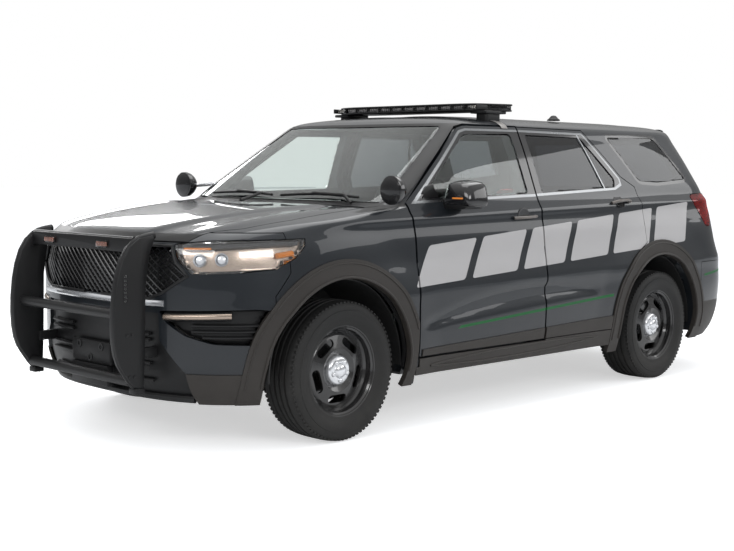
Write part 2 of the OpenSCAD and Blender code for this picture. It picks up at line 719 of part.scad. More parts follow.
module tyre(side, axle_y) {
    h = tyre_w / 2;
    bead = rim_half_w - 17;
    r = tyre_r;
    color(rubber) on_side(side) translate([wheel_x, axle_y, hub_z]) rotate([0, 90, 0]) rotate_extrude($fn = 120)
        polygon([[rim_r - 14.8, -bead], [rim_r + 12, -bead - 8], [rim_r + 55, -h], [r - 45, -h + 2], [r - 12, -h + 22],
                 [r - 1.5, -h + 45], [r - 0.5, -34], [r - 7, -32], [r - 7, -24], [r, -22], [r, 22], [r - 7, 24],
                 [r - 7, 32], [r - 0.5, 34], [r - 1.5, h - 45], [r - 12, h - 22], [r - 45, h - 2],
                 [rim_r + 55, h], [rim_r + 12, bead + 8], [rim_r - 14.8, bead], [rim_r - 15, bead - 6],
                 [rim_r + 30, h - 24], [r - 20, h - 34], [r - 20, -h + 34], [rim_r + 30, -h + 24],
                 [rim_r - 15, -bead + 6]]);
}
module exhaust() {
    color(steel) {
        translate([-260, -1330, 236]) rotate([-90, 0, 0]) cylinder(r = 27, h = 3150);
        translate([-260, -1330, 236]) cylinder(r = 24, h = 93.6);
        translate([-360, 1900, 215]) cube([560, 220, 110]);
        translate([-285, -900, 250]) cube([50, 20, 49.6]);
        translate([-285, 860, 250]) cube([50, 20, 49.6]);
        translate([-360, 2119, 300]) rotate([-90, 0, 0]) cylinder(r = 27, h = 330);
        translate([-200, 2000, 320]) cube([50, 20, 258]);
    }
}
module fuel_tank() {
    color(rubber) translate([-150, 150, 205]) cube([700, 700, 94.6]);
}

// ---- Cabin -----------------------------------------------------------------------------------
module dash_top() {
    side_cut(-740, 740) polygon([[-1001.5, 860], [-1001.5, 1175], [-900, 1190], [-760, 1165], [-720, 1110],
                                 [-730, 980], [-800, 860]]);
}
module dashboard() {
    color(trim_black) {
        dash_top();
        translate([-130, -1001.5, 344.4]) cube([260, 240, 520]);
        translate([-130, -770, 344.4]) cube([260, 900, 300]);
    }
}
module steering_wheel() {
    color(trim_black) {
        translate([380, -729, 1000]) rotate([-62, 0, 0]) {
            translate([0, 0, 150]) rotate_extrude() translate([175, 0]) circle(r = 14);
            translate([-165, -16, 142]) cube([330, 32, 14]);
            translate([0, 0, 130]) cylinder(r = 60, h = 36);
        }
        difference() {
            translate([380, -729, 1000]) rotate([-62, 0, 0]) cylinder(r = 28, h = 150);
            dash_top();
        }
    }
}
module cushion(size, r = 30) {
    hull() for (x = [r, size[0] - r]) for (y = [r, size[1] - r]) translate([x, y, 0])
        cylinder(r = r, h = size[2], $fn = 24);
}
module front_seats() {
    color(cloth) both_sides() translate([150, 0, 0]) {
        translate([0, -480, 420]) cushion([480, 500, 120]);
        translate([60, -420, 344.4]) cube([360, 380, 80]);
        translate([10, 40, 500]) rotate([-12, 0, 0]) translate([0, -30, 0]) cushion([460, 90, 600]);
        translate([110, 165, 1120]) rotate([-8, 0, 0]) cushion([240, 75, 190]);
        translate([200, 160, 1070]) cube([60, 30, 80]);
    }
}
module rear_seat() {
    color(cloth) {
        translate([-610, 430, 344.4]) cushion([1220, 490, 200]);
        translate([-610, 850, 540]) rotate([-14, 0, 0]) cushion([1220, 110, 600]);
    }
}

// ---- Fittings --------------------------------------------------------------------------------
module guard_profile() {
    top = guard_top_z;
    foot = guard_foot_z;
    front = -half_length;
    polygon([[front + 232, top], [front + 150, top - 15], [front + 60, top - 90], [front + 12, top - 230],
             [front, top - 390], [front + 14, foot + 240], [front + 60, foot + 100], [front + 125, foot + 20],
             [front + 155, foot], [front + 178, foot + 20], [front + 186, foot + 200], [front + 190, top - 250],
             [front + 215, top - 90], [front + 245, top - 20]]);
}
module guard_tube(y, z) {
    translate([-guard_w / 2, y, z]) rotate([0, 90, 0]) cylinder(r = guard_tube_r, h = guard_w);
}
module push_guard() {
    color(trim_black) {
        both_sides() {
            side_cut(guard_w / 2 - guard_plate_t / 2, guard_w / 2 + guard_plate_t / 2) guard_profile();
            translate([guard_w / 2 - 40, -half_length + 150, 460]) cube([80, half_length - 150 + beam_y - seal_gap, 80]);
        }
        guard_tube(-half_length + 60, 700);
        guard_tube(-half_length + 120, guard_foot_z + 50);
        translate([-guard_w / 2, -half_length + 120, guard_top_z - 85]) cube([guard_w, 40, 70]);
        for (x = [-170, 110]) translate([x, -half_length + 96, guard_top_z - 75]) cube([60, 30, 40]);
    }
}
module light_bar() {
    top = roof_top_z + bar_lift + bar_h;
    x = bar_len / 2;
    color(trim_black) {
        translate([0, bar_y, top - bar_h]) hull() for (end = [-1, 1]) {
            translate([end * (x - bar_depth / 2), 0, 0]) cylinder(r = bar_depth / 2, h = bar_h, $fn = 32);
            translate([end * (x - 40), 60, 6]) cylinder(r = 40, h = bar_h - 14, $fn = 24);
        }
        difference() {
            for (end = [-1, 1]) translate([end * 600 - 45, bar_y - 60, rail_z]) cube([90, 120, top - bar_h - rail_z + 1]);
            slice_stack(roof_rows);
        }
    }
}
spot_pos = [915, -1095, 1312];
module spot_lamps() {
    color(trim_black) both_sides() translate(spot_pos) {
        rotate([90, 0, 0]) cylinder(r = 80, h = 30);
        translate([0, -1, 0]) rotate([-90, 0, 0]) hull() {
            cylinder(r = 79, h = 5, $fn = 32);
            cylinder(r = 45, h = 58, $fn = 32);
        }
        difference() {
            translate([-75, 30, -14]) cube([75, 150, 28]);
            translate(-spot_pos) slice_stack(cabin_rows);
        }
    }
}
module hood() {
    color(paint) {
        intersection() {
            thick_shell(nose_rows, panel_t);
            translate([0, 0, hood_front_z]) linear_extrude(height = 400) hood_outline();
            translate([-far, -far, 0]) cube([2 * far, far + hood_axis_y - 8, far]);
        }
        for (x = hood_hinge_x) translate([x, hood_axis_y, hood_axis_z]) rotate([0, 90, 0]) rotate([0, 0, 180])
            moving_knuckles(14);
    }
}
module liftgate() {
    color(paint) {
        difference() {
            intersection() {
                thick_shell(gate_rows, 60);
                front_cut(gate_axis_y + 8, far) gate_outline();
                side_cut(-far, far) gate_depth_outline();
            }
            front_cut(gate_axis_y, far) gate_window_outline();
        }
        for (x = gate_hinge_x) translate([x, gate_axis_y, gate_axis_z]) rotate([0, -90, 0]) moving_knuckles(14);
    }
}
module liftgate_glass() {
    color(dark_glass) intersection() {
        shell(cabin_rows, glass_t, 12);
        front_cut(gate_axis_y, far) offset(delta = -seal_gap) gate_window_outline();
    }
}

floor_pan();
bulkhead();
body_sides();
roof_panel();
front_fenders();
front_bumper();
rear_bumper();
grille();
front_lamps();
tail_lamps();
windscreen();
quarter_glass();
arch_trims();
arch_liners();
engine_block();
front_frame();
front_suspension();
rear_suspension();
exhaust();
fuel_tank();
dashboard();
steering_wheel();
front_seats();
rear_seat();
push_guard();
light_bar();
spot_lamps();
hood();
front_door(1);  // front_door_left
front_door(-1);  // front_door_right
rear_door(1);  // rear_door_left
rear_door(-1);  // rear_door_right
front_glass(1);  // front_glass_left
front_glass(-1);  // front_glass_right
rear_glass(1);  // rear_glass_left
rear_glass(-1);  // rear_glass_right
mirror_body(1);  // mirror_left
mirror_body(-1);  // mirror_right
liftgate();
liftgate_glass();
front_knuckle(1);  // front_knuckle_left
front_knuckle(-1);  // front_knuckle_right
wheel(1, front_axle_y);  // front_wheel_left
wheel(-1, front_axle_y);  // front_wheel_right
wheel(1, rear_axle_y);  // rear_wheel_left
wheel(-1, rear_axle_y);  // rear_wheel_right
tyre(1, front_axle_y);  // front_tyre_left
tyre(-1, front_axle_y);  // front_tyre_right
tyre(1, rear_axle_y);  // rear_tyre_left
tyre(-1, rear_axle_y);  // rear_tyre_right
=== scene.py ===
# %% [markdown]
# # A patrol car, dressed in Blender
# The CAD frame already holds every part at its real size: doors, wheels, guard, lamps.
# This notebook gives that frame its looks. It goes the way a body shop goes: the outer skin first,
# then glass, trim, lamps, wheels, and the fittings that make it a patrol car.
# +X is the car's left, -Y is its nose, +Z is up, and everything is in metres.

# %% Load the frame
import bpy, bmesh
from math import sin, cos, tan, pi, radians, atan2, hypot, exp
from mathutils import Vector, Matrix
from mathutils.bvhtree import BVHTree


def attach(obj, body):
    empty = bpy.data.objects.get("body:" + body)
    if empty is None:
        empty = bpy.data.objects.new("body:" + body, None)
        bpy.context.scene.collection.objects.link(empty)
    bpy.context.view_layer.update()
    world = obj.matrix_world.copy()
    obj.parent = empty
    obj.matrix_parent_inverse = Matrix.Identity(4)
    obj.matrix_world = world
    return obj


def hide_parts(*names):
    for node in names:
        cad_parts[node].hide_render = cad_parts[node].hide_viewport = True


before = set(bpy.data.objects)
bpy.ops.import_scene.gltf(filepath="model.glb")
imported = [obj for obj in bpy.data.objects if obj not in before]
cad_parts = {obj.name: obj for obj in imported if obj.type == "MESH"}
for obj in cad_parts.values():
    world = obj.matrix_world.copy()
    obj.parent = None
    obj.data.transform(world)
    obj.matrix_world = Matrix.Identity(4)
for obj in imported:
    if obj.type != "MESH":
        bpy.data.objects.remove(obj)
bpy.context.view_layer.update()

# %% [markdown]
# ## Camera, light and floor
# A studio photograph of a car uses one wide white cove: the floor runs up into the wall.
# The car's paint is judged by what it reflects, so the world is white to mirrors and glass,
# but softer as a light. Large area lamps overhead draw the long bright shapes on the bonnet.

# %% Camera
scene = bpy.context.scene
camera_data = bpy.data.cameras.new("camera")
camera = bpy.data.objects.new("camera", camera_data)
scene.collection.objects.link(camera)
camera_data.sensor_width = 36.0
camera_data.lens = 62.28
camera_data.shift_x = 0.0384
camera_data.shift_y = -0.016
yaw, pitch, roll = radians(135.50), radians(-4.368), radians(0.545)
ahead = Vector((cos(pitch) * cos(yaw), cos(pitch) * sin(yaw), sin(pitch)))
right = ahead.cross(Vector((0, 0, 1))).normalized()
up = right.cross(ahead)
tilted_right = right * cos(roll) + up * sin(roll)
tilted_up = -right * sin(roll) + up * cos(roll)
turn = Matrix((tilted_right, tilted_up, -ahead)).transposed()
camera.matrix_world = Matrix.Translation((5.624, -6.137, 1.436)) @ turn.to_4x4()
scene.camera = camera
scene.view_settings.view_transform = "Standard"

# %% World: white to the camera and to mirrors, softer as a light
world = bpy.data.worlds.new("studio")
scene.world = world
world.use_nodes = True
wn = world.node_tree.nodes
wl = world.node_tree.links
wn.clear()
out = wn.new("ShaderNodeOutputWorld")
mix = wn.new("ShaderNodeMixShader")
seen = wn.new("ShaderNodeBackground")
seen.inputs["Color"].default_value = (1, 1, 1, 1)
seen.inputs["Strength"].default_value = 1.0
lit = wn.new("ShaderNodeBackground")
lit.inputs["Color"].default_value = (0.93, 0.96, 1.0, 1)
lit.inputs["Strength"].default_value = 0.74
path = wn.new("ShaderNodeLightPath")
any_ray = wn.new("ShaderNodeMath")
any_ray.operation = "MAXIMUM"
wl.new(path.outputs["Is Camera Ray"], any_ray.inputs[0])
wl.new(path.outputs["Is Transmission Ray"], any_ray.inputs[1])
every_ray = wn.new("ShaderNodeMath")
every_ray.operation = "MAXIMUM"
wl.new(any_ray.outputs[0], every_ray.inputs[0])
wl.new(path.outputs["Is Glossy Ray"], every_ray.inputs[1])
wl.new(every_ray.outputs[0], mix.inputs[0])
sky_coords = wn.new("ShaderNodeTexCoord")
sky_split = wn.new("ShaderNodeSeparateXYZ")
sky_rise = wn.new("ShaderNodeMapRange")
sky_rise.interpolation_type = "SMOOTHSTEP"
sky_rise.inputs["From Min"].default_value = 0.02
sky_rise.inputs["From Max"].default_value = 0.70
sky_rise.inputs["To Min"].default_value = 0.22
sky_rise.inputs["To Max"].default_value = 0.80
sky_strength = wn.new("ShaderNodeMath")
sky_strength.operation = "MAXIMUM"
wl.new(sky_coords.outputs["Generated"], sky_split.inputs[0])
wl.new(sky_split.outputs["Z"], sky_rise.inputs["Value"])
wl.new(sky_rise.outputs["Result"], sky_strength.inputs[0])
wl.new(any_ray.outputs[0], sky_strength.inputs[1])
wl.new(sky_strength.outputs[0], seen.inputs["Strength"])
wl.new(lit.outputs[0], mix.inputs[1])
wl.new(seen.outputs[0], mix.inputs[2])
wl.new(mix.outputs[0], out.inputs[0])

# %% Lamps
def area_lamp(name, place, aim, size, watts):
    data = bpy.data.lights.new(name, "AREA")
    data.shape = "RECTANGLE"
    data.size, data.size_y = size
    data.energy = watts
    lamp = bpy.data.objects.new(name, data)
    scene.collection.objects.link(lamp)
    direction = Vector(aim) - Vector(place)
    lamp.matrix_world = Matrix.Translation(place) @ direction.to_track_quat("-Z", "Y").to_matrix().to_4x4()
    return lamp

area_lamp("overhead", (0, 0.3, 5.2), (0, 0, 0), (3.2, 7.0), 140)
area_lamp("side_left", (6.0, 5.6, 3.7), (0.9, 0.2, 0.7), (7.0, 2.6), 125)
area_lamp("front_left", (6.5, -3.0, 3.2), (0.5, -1.5, 0.7), (3.0, 1.0), 60)
area_lamp("nose", (1.5, -7.5, 3.6), (0, -1.5, 0.7), (5.0, 1.4), 90)
area_lamp("side_right", (-6.5, 0.5, 3.4), (0, 0, 0.8), (5.0, 1.2), 120)

# %% Floor: a pale sheet that keeps the shadow and is otherwise white
def new_object(name, mesh):
    piece = bpy.data.objects.new(name, mesh)
    scene.collection.objects.link(piece)
    return piece

floor_mesh = bpy.data.meshes.new("studio_floor")
bm = bmesh.new()
bmesh.ops.create_grid(bm, x_segments=1, y_segments=1, size=60)
bm.to_mesh(floor_mesh)
bm.free()
floor = new_object("studio_floor", floor_mesh)
floor_mat = bpy.data.materials.new("studio_floor")
floor_mat.use_nodes = True
fn = floor_mat.node_tree.nodes
fl = floor_mat.node_tree.links
floor_bsdf = fn["Principled BSDF"]
floor_bsdf.inputs["Base Color"].default_value = (0.86, 0.86, 0.86, 1)
floor_bsdf.inputs["Roughness"].default_value = 0.9
floor_bsdf.inputs["Specular IOR Level"].default_value = 0.1
floor_glow = fn.new("ShaderNodeEmission")
floor_glow.inputs["Color"].default_value = (1, 1, 1, 1)
floor_glow.inputs["Strength"].default_value = 0.55
floor_path = fn.new("ShaderNodeLightPath")
floor_add = fn.new("ShaderNodeAddShader")
floor_mix = fn.new("ShaderNodeMixShader")
fl.new(floor_bsdf.outputs[0], floor_add.inputs[0])
fl.new(floor_glow.outputs[0], floor_add.inputs[1])
fl.new(floor_path.outputs["Is Camera Ray"], floor_mix.inputs[0])
fl.new(floor_bsdf.outputs[0], floor_mix.inputs[1])
fl.new(floor_add.outputs[0], floor_mix.inputs[2])
fl.new(floor_mix.outputs[0], fn["Material Output"].inputs[0])
floor_mesh.materials.append(floor_mat)

# %% [markdown]
# ## Finishes
# Three effects come back in most finishes: a fine grain, worn pale edges and a film of dust low down.
# Each is a node group with named inputs, so that every material sets its own amounts.
# The shader itself stays in the material, where its constants can be read by any exporter.

# %% Shared node groups
def new_group(name, inputs, outputs):
    group = bpy.data.node_groups.new(name, "ShaderNodeTree")
    for label, kind, value in inputs:
        socket = group.interface.new_socket(name=label, in_out="INPUT", socket_type=kind)
        if value is not None:
            socket.default_value = value
    for label, kind in outputs:
        group.interface.new_socket(name=label, in_out="OUTPUT", socket_type=kind)
    return group, group.nodes.new("NodeGroupInput"), group.nodes.new("NodeGroupOutput")

def link_math(tree, operation, a, b=None, clamp=False):
    node = tree.nodes.new("ShaderNodeMath")
    node.operation = operation
    node.use_clamp = clamp
    for socket, value in zip(node.inputs, (a, b)):
        if value is None:
            continue
        if isinstance(value, (int, float)):
            socket.default_value = value
        else:
            tree.links.new(value, socket)
    return node.outputs[0]

FLOAT, COLOR = "NodeSocketFloat", "NodeSocketColor"

# Grain: moulded plastic's pebbling, or paint's orange peel, as a height and as a roughness change
grain_group, gin, gout = new_group("grain", [("Scale", FLOAT, 400.0), ("Roughness", FLOAT, 0.4), ("Spread", FLOAT, 0.1)],
                                   [("Height", FLOAT), ("Roughness", FLOAT)])
coords = grain_group.nodes.new("ShaderNodeTexCoord")
noise = grain_group.nodes.new("ShaderNodeTexNoise")
noise.inputs["Detail"].default_value = 3.0
broad = grain_group.nodes.new("ShaderNodeTexNoise")
broad.inputs["Scale"].default_value = 3.0
grain_group.links.new(coords.outputs["Object"], noise.inputs["Vector"])
grain_group.links.new(coords.outputs["Object"], broad.inputs["Vector"])
grain_group.links.new(gin.outputs["Scale"], noise.inputs["Scale"])
grain_group.links.new(noise.outputs["Fac"], gout.inputs["Height"])
shifted = link_math(grain_group, "SUBTRACT", broad.outputs["Fac"], 0.5)
spread = link_math(grain_group, "MULTIPLY", shifted, gin.outputs["Spread"])
rough = link_math(grain_group, "ADD", spread, gin.outputs["Roughness"], clamp=True)
grain_group.links.new(rough, gout.inputs["Roughness"])

# Dust: a pale film that thickens towards the ground, broken up by noise
dust_group, din, dout = new_group("road_dust", [("Color", COLOR, (0, 0, 0, 1)), ("Dust", COLOR, (0.25, 0.23, 0.2, 1)),
                                  ("Top", FLOAT, 0.5), ("Amount", FLOAT, 0.25)], [("Color", COLOR), ("Mask", FLOAT)])
coords = dust_group.nodes.new("ShaderNodeTexCoord")
split = dust_group.nodes.new("ShaderNodeSeparateXYZ")
patchy = dust_group.nodes.new("ShaderNodeTexNoise")
patchy.inputs["Scale"].default_value = 9.0
patchy.inputs["Detail"].default_value = 6.0
dust_group.links.new(coords.outputs["Object"], split.inputs[0])
dust_group.links.new(coords.outputs["Object"], patchy.inputs["Vector"])
below = link_math(dust_group, "SUBTRACT", din.outputs["Top"], split.outputs["Z"])
below = link_math(dust_group, "DIVIDE", below, din.outputs["Top"], clamp=True)
film = link_math(dust_group, "MULTIPLY", below, patchy.outputs["Fac"])
film = link_math(dust_group, "MULTIPLY", film, din.outputs["Amount"], clamp=True)
blend = dust_group.nodes.new("ShaderNodeMix")
blend.data_type = "RGBA"
dust_group.links.new(film, blend.inputs["Factor"])
dust_group.links.new(din.outputs["Color"], blend.inputs["A"])
dust_group.links.new(din.outputs["Dust"], blend.inputs["B"])
dust_group.links.new(blend.outputs["Result"], dout.inputs["Color"])
dust_group.links.new(film, dout.inputs["Mask"])

# Edge wear: pointed edges show a lighter rubbed colour
wear_group, win, wout = new_group("edge_wear", [("Color", COLOR, (0, 0, 0, 1)), ("Worn", COLOR, (0.2, 0.2, 0.2, 1)),
                                  ("Amount", FLOAT, 0.3)], [("Color", COLOR)])
geometry = wear_group.nodes.new("ShaderNodeNewGeometry")
ramp = wear_group.nodes.new("ShaderNodeMapRange")
ramp.inputs["From Min"].default_value = 0.52
ramp.inputs["From Max"].default_value = 0.62
wear_group.links.new(geometry.outputs["Pointiness"], ramp.inputs["Value"])
amount = link_math(wear_group, "MULTIPLY", ramp.outputs["Result"], win.outputs["Amount"], clamp=True)
rubbed = wear_group.nodes.new("ShaderNodeMix")
rubbed.data_type = "RGBA"
wear_group.links.new(amount, rubbed.inputs["Factor"])
wear_group.links.new(win.outputs["Color"], rubbed.inputs["A"])
wear_group.links.new(win.outputs["Worn"], rubbed.inputs["B"])
wear_group.links.new(rubbed.outputs["Result"], wout.inputs["Color"])

# %% Material makers
def put_group(mat, group, **values):
    node = mat.node_tree.nodes.new("ShaderNodeGroup")
    node.node_tree = group
    for label, value in values.items():
        node.inputs[label].default_value = value
    return node

def finish(name, color, roughness=0.4, metallic=0.0, grain=400.0, bump=0.05, spread=0.08, dust=0.0, dust_top=0.5,
           wear=0.0, worn=(0.25, 0.25, 0.25, 1), coat=0.0, coat_roughness=0.03, specular=0.5, sheen=0.0):
    mat = bpy.data.materials.new(name)
    mat.use_nodes = True
    tree = mat.node_tree
    bsdf = tree.nodes["Principled BSDF"]
    bsdf.inputs["Metallic"].default_value = metallic
    bsdf.inputs["Coat Weight"].default_value = coat
    bsdf.inputs["Coat Roughness"].default_value = coat_roughness
    bsdf.inputs["Specular IOR Level"].default_value = specular
    bsdf.inputs["Sheen Weight"].default_value = sheen
    bsdf.inputs["Base Color"].default_value = (*color, 1)
    tone = None
    if wear:
        tone = put_group(mat, wear_group, Color=(*color, 1), Worn=worn, Amount=wear).outputs["Color"]
    if dust:
        film = put_group(mat, dust_group, Color=(*color, 1), Top=dust_top, Amount=dust)
        if tone:
            tree.links.new(tone, film.inputs["Color"])
        tone = film.outputs["Color"]
    if tone:
        tree.links.new(tone, bsdf.inputs["Base Color"])
    skin = put_group(mat, grain_group, Scale=grain, Roughness=roughness, Spread=spread)
    tree.links.new(skin.outputs["Roughness"], bsdf.inputs["Roughness"])
    height = tree.nodes.new("ShaderNodeBump")
    height.inputs["Strength"].default_value = bump
    height.inputs["Distance"].default_value = 0.001
    tree.links.new(skin.outputs["Height"], height.inputs["Height"])
    tree.links.new(height.outputs[0], bsdf.inputs["Normal"])
    return mat

def glass(name, tint, ior=1.45, roughness=0.0, thin_alpha=None):
    mat = bpy.data.materials.new(name)
    mat.use_nodes = True
    bsdf = mat.node_tree.nodes["Principled BSDF"]
    bsdf.inputs["Base Color"].default_value = (*tint, 1)
    bsdf.inputs["Transmission Weight"].default_value = 1.0
    bsdf.inputs["Roughness"].default_value = roughness
    bsdf.inputs["IOR"].default_value = ior
    return mat

def glow(name, color, strength, base=(0.02, 0.02, 0.02)):
    mat = finish(name, base, roughness=0.15, grain=900, bump=0.0)
    bsdf = mat.node_tree.nodes["Principled BSDF"]
    bsdf.inputs["Emission Color"].default_value = (*color, 1)
    bsdf.inputs["Emission Strength"].default_value = strength
    return mat

# %% [markdown]
# The body colour is a dark grey metallic under clear coat. Fine flakes sit in the base layer:
# a tight Voronoi pattern tips their colour a little, while the coat on top stays mirror smooth
# with a very shallow orange peel.

# %% Body paint
paint = finish("body_paint", (0.012, 0.015, 0.019), roughness=0.36, metallic=0.35, grain=60, bump=0.012, spread=0.04,
               coat=1.0, coat_roughness=0.02, dust=0.05, dust_top=0.62, specular=0.25)
paint.node_tree.nodes["Principled BSDF"].inputs["Coat IOR"].default_value = 1.38
tree = paint.node_tree
flakes = tree.nodes.new("ShaderNodeTexVoronoi")
flakes.inputs["Scale"].default_value = 1400.0
flake_coords = tree.nodes.new("ShaderNodeTexCoord")
flake_mix = tree.nodes.new("ShaderNodeMix")
flake_mix.data_type = "RGBA"
flake_mix.inputs["A"].default_value = (0.010, 0.013, 0.016, 1)
flake_mix.inputs["B"].default_value = (0.018, 0.021, 0.026, 1)
flake_tone = tree.nodes.new("ShaderNodeSeparateColor")
tree.links.new(flake_coords.outputs["Object"], flakes.inputs["Vector"])
tree.links.new(flakes.outputs["Color"], flake_tone.inputs[0])
tree.links.new(flake_tone.outputs[0], flake_mix.inputs["Factor"])
dust_node = next(n for n in tree.nodes if n.type == "GROUP" and n.node_tree == dust_group)
tree.links.new(flake_mix.outputs["Result"], dust_node.inputs["Color"])

# %% The other finishes
cladding = finish("moulded_cladding", (0.026, 0.0225, 0.020), roughness=0.46, grain=900, bump=0.12, dust=0.10, dust_top=0.8, specular=0.35)
satin_black = finish("powder_coat", (0.0075, 0.0075, 0.008), roughness=0.40, grain=1200, bump=0.10, wear=0.12, worn=(0.06, 0.06, 0.06, 1),
                     spread=0.1, specular=0.32)
gloss_black = finish("gloss_black", (0.008, 0.008, 0.009), roughness=0.12, grain=80, bump=0.01, coat=0.6)
rubber = finish("rubber_seal", (0.010, 0.010, 0.010), roughness=0.62, grain=700, bump=0.08)
chrome = finish("chrome", (0.80, 0.81, 0.83), roughness=0.14, metallic=0.72, grain=300, bump=0.01, spread=0.04)
satin_grey = finish("satin_metal", (0.32, 0.33, 0.34), roughness=0.28, metallic=1.0, grain=900, bump=0.03)
reflector = finish("lamp_reflector", (0.62, 0.60, 0.56), roughness=0.16, metallic=1.0, grain=200, bump=0.02)
wheel_black = finish("wheel_paint", (0.010, 0.010, 0.011), roughness=0.22, grain=120, bump=0.02, coat=0.7, dust=0.12, dust_top=0.7)
tyre_rubber = finish("tyre_rubber", (0.0095, 0.0095, 0.0095), roughness=0.60, grain=260, bump=0.10, dust=0.10, dust_top=0.75,
                     specular=0.35)
iron = finish("cast_iron", (0.16, 0.15, 0.145), roughness=0.55, metallic=0.8, grain=240, bump=0.15, dust=0.4, dust_top=0.9)
livery = finish("livery_film", (0.40, 0.39, 0.39), roughness=0.34, grain=900, bump=0.02)
green_film = finish("green_stripe", (0.004, 0.10, 0.022), roughness=0.38, grain=900, bump=0.02, specular=0.3)
cabin_black = finish("cabin_plastic", (0.022, 0.022, 0.023), roughness=0.6, grain=900, bump=0.15)
carpet = finish("carpet", (0.015, 0.015, 0.016), roughness=0.9, grain=1500, bump=0.4, sheen=0.3)
clear_glass = glass("clear_glass", (0.80, 0.86, 0.84))
dark_glass = glass("privacy_glass", (0.10, 0.11, 0.12))
lens = glass("lamp_lens", (0.94, 0.95, 0.96))
smoked_lens = glass("smoked_lens", (0.25, 0.25, 0.27))
red_lens = glass("red_lens", (0.55, 0.01, 0.012))
amber = glow("amber_led", (1.0, 0.32, 0.03), 0.22, base=(0.5, 0.16, 0.03))
bead_rose = finish("lamp_beads", (0.42, 0.20, 0.15), roughness=0.3, grain=300, bump=0.05)
white_led = glow("white_led", (1.0, 0.97, 0.9), 0.25, base=(0.6, 0.6, 0.6))
cloth = finish("seat_cloth", (0.020, 0.020, 0.022), roughness=0.85, grain=1400, bump=0.35, sheen=0.4)

# %% [markdown]
# ## The body skin
# A car's skin is one flowing surface that is only later cut into doors and wings, and it is made
# the same way here. A flat grid is laid over the car: each of its rows becomes a level contour,
# rounded at nose and tail, and small offsets along the surface press in the shoulder line, the
# scallop over the sill and the bonnet's creases. Cutting comes afterwards, so that every
# reflection runs on across the gaps.

# %% Contours: height, nose, nose length, tail, tail length, half width
import numpy as np
contours = np.array([
    (0.240, -2.330, 0.980, 2.510, 0.520, 0.930), (0.320, -2.375, 0.990, 2.570, 0.540, 0.960),
    (0.450, -2.405, 1.000, 2.606, 0.550, 0.984), (0.640, -2.412, 1.000, 2.620, 0.550, 0.990),
    (0.800, -2.412, 1.000, 2.590, 0.540, 0.990), (0.950, -2.405, 1.000, 2.530, 0.520, 0.980),
    (1.040, -2.385, 1.000, 2.508, 0.500, 0.966), (1.085, -2.330, 0.970, 2.498, 0.480, 0.955),
    (1.120, -2.200, 0.880, 2.490, 0.470, 0.946), (1.160, -1.950, 0.700, 2.480, 0.460, 0.936),
    (1.195, -1.620, 0.480, 2.468, 0.450, 0.926), (1.225, -1.192, 0.250, 2.454, 0.440, 0.916),
    (1.270, -1.121, 0.235, 2.430, 0.430, 0.897), (1.360, -0.979, 0.210, 2.375, 0.420, 0.863),
    (1.500, -0.757, 0.170, 2.290, 0.400, 0.810), (1.620, -0.567, 0.140, 2.215, 0.380, 0.758),
    (1.700, -0.440, 0.130, 2.170, 0.370, 0.715), (1.729, -0.370, 0.200, 2.140, 0.400, 0.630),
    (1.749, -0.230, 0.350, 2.060, 0.450, 0.480), (1.765, 0.060, 0.500, 1.800, 0.600, 0.250),
    (1.767, 0.400, 0.350, 1.450, 0.350, 0.100), (1.768, 0.700, 0.200, 1.150, 0.200, 0.004)])

def smooth_rows(table, step):
    rows = [table[0]]
    for k in range(len(table) - 1):
        a, b, c, d = table[max(k - 1, 0)], table[k], table[k + 1], table[min(k + 2, len(table) - 1)]
        span = np.max(np.abs(c - b)[[0, 1, 5]] * (1, 1, 1.4))
        parts = max(1, int(np.ceil(span / step)))
        for i in range(1, parts + 1):
            t = i / parts
            m1, m2 = (c - a) / 2, (d - b) / 2
            for m in (m1, m2):
                limit = 1.6 * np.abs(c - b)
                np.clip(m, -limit, limit, out=m)
            h = 2 * t ** 3 - 3 * t ** 2 + 1
            rows.append(h * b + (t ** 3 - 2 * t ** 2 + t) * m1 + (1 - h) * c + (t ** 3 - t ** 2) * m2)
    return np.array(rows)

def contour_line(row, columns, nose_power=2.9, tail_power=3.6):
    z, front, front_len, rear, rear_len, half_w = row
    a = np.linspace(0, pi / 2, 400)
    nose = np.stack([half_w * np.sin(a) ** (2 / nose_power), front + front_len * (1 - np.cos(a) ** (2 / nose_power))], 1)
    tail = np.stack([half_w * np.sin(a) ** (2 / tail_power), rear - rear_len * (1 - np.cos(a) ** (2 / tail_power))], 1)
    line = np.concatenate([nose, tail[::-1]])
    walked = np.concatenate([[0], np.cumsum(np.hypot(*np.diff(line, axis=0).T))])
    at = np.linspace(0, walked[-1], columns + 1)
    return np.stack([np.interp(at, walked, line[:, 0]), np.interp(at, walked, line[:, 1]), np.full(columns + 1, z)], 1)

rows = smooth_rows(contours, 0.024)
COLUMNS = 250
sheet = np.stack([contour_line(row, COLUMNS) for row in rows])
print("skin rows", len(rows), "columns", COLUMNS)

# %% Surface offsets: flares, shoulder, scallop, bonnet
def step_up(low, high, value):
    t = np.clip((value - low) / (high - low), 0, 1)
    return t * t * (3 - 2 * t)

def bell(value, middle, width):
    return np.exp(-((value - middle) / width) ** 2)

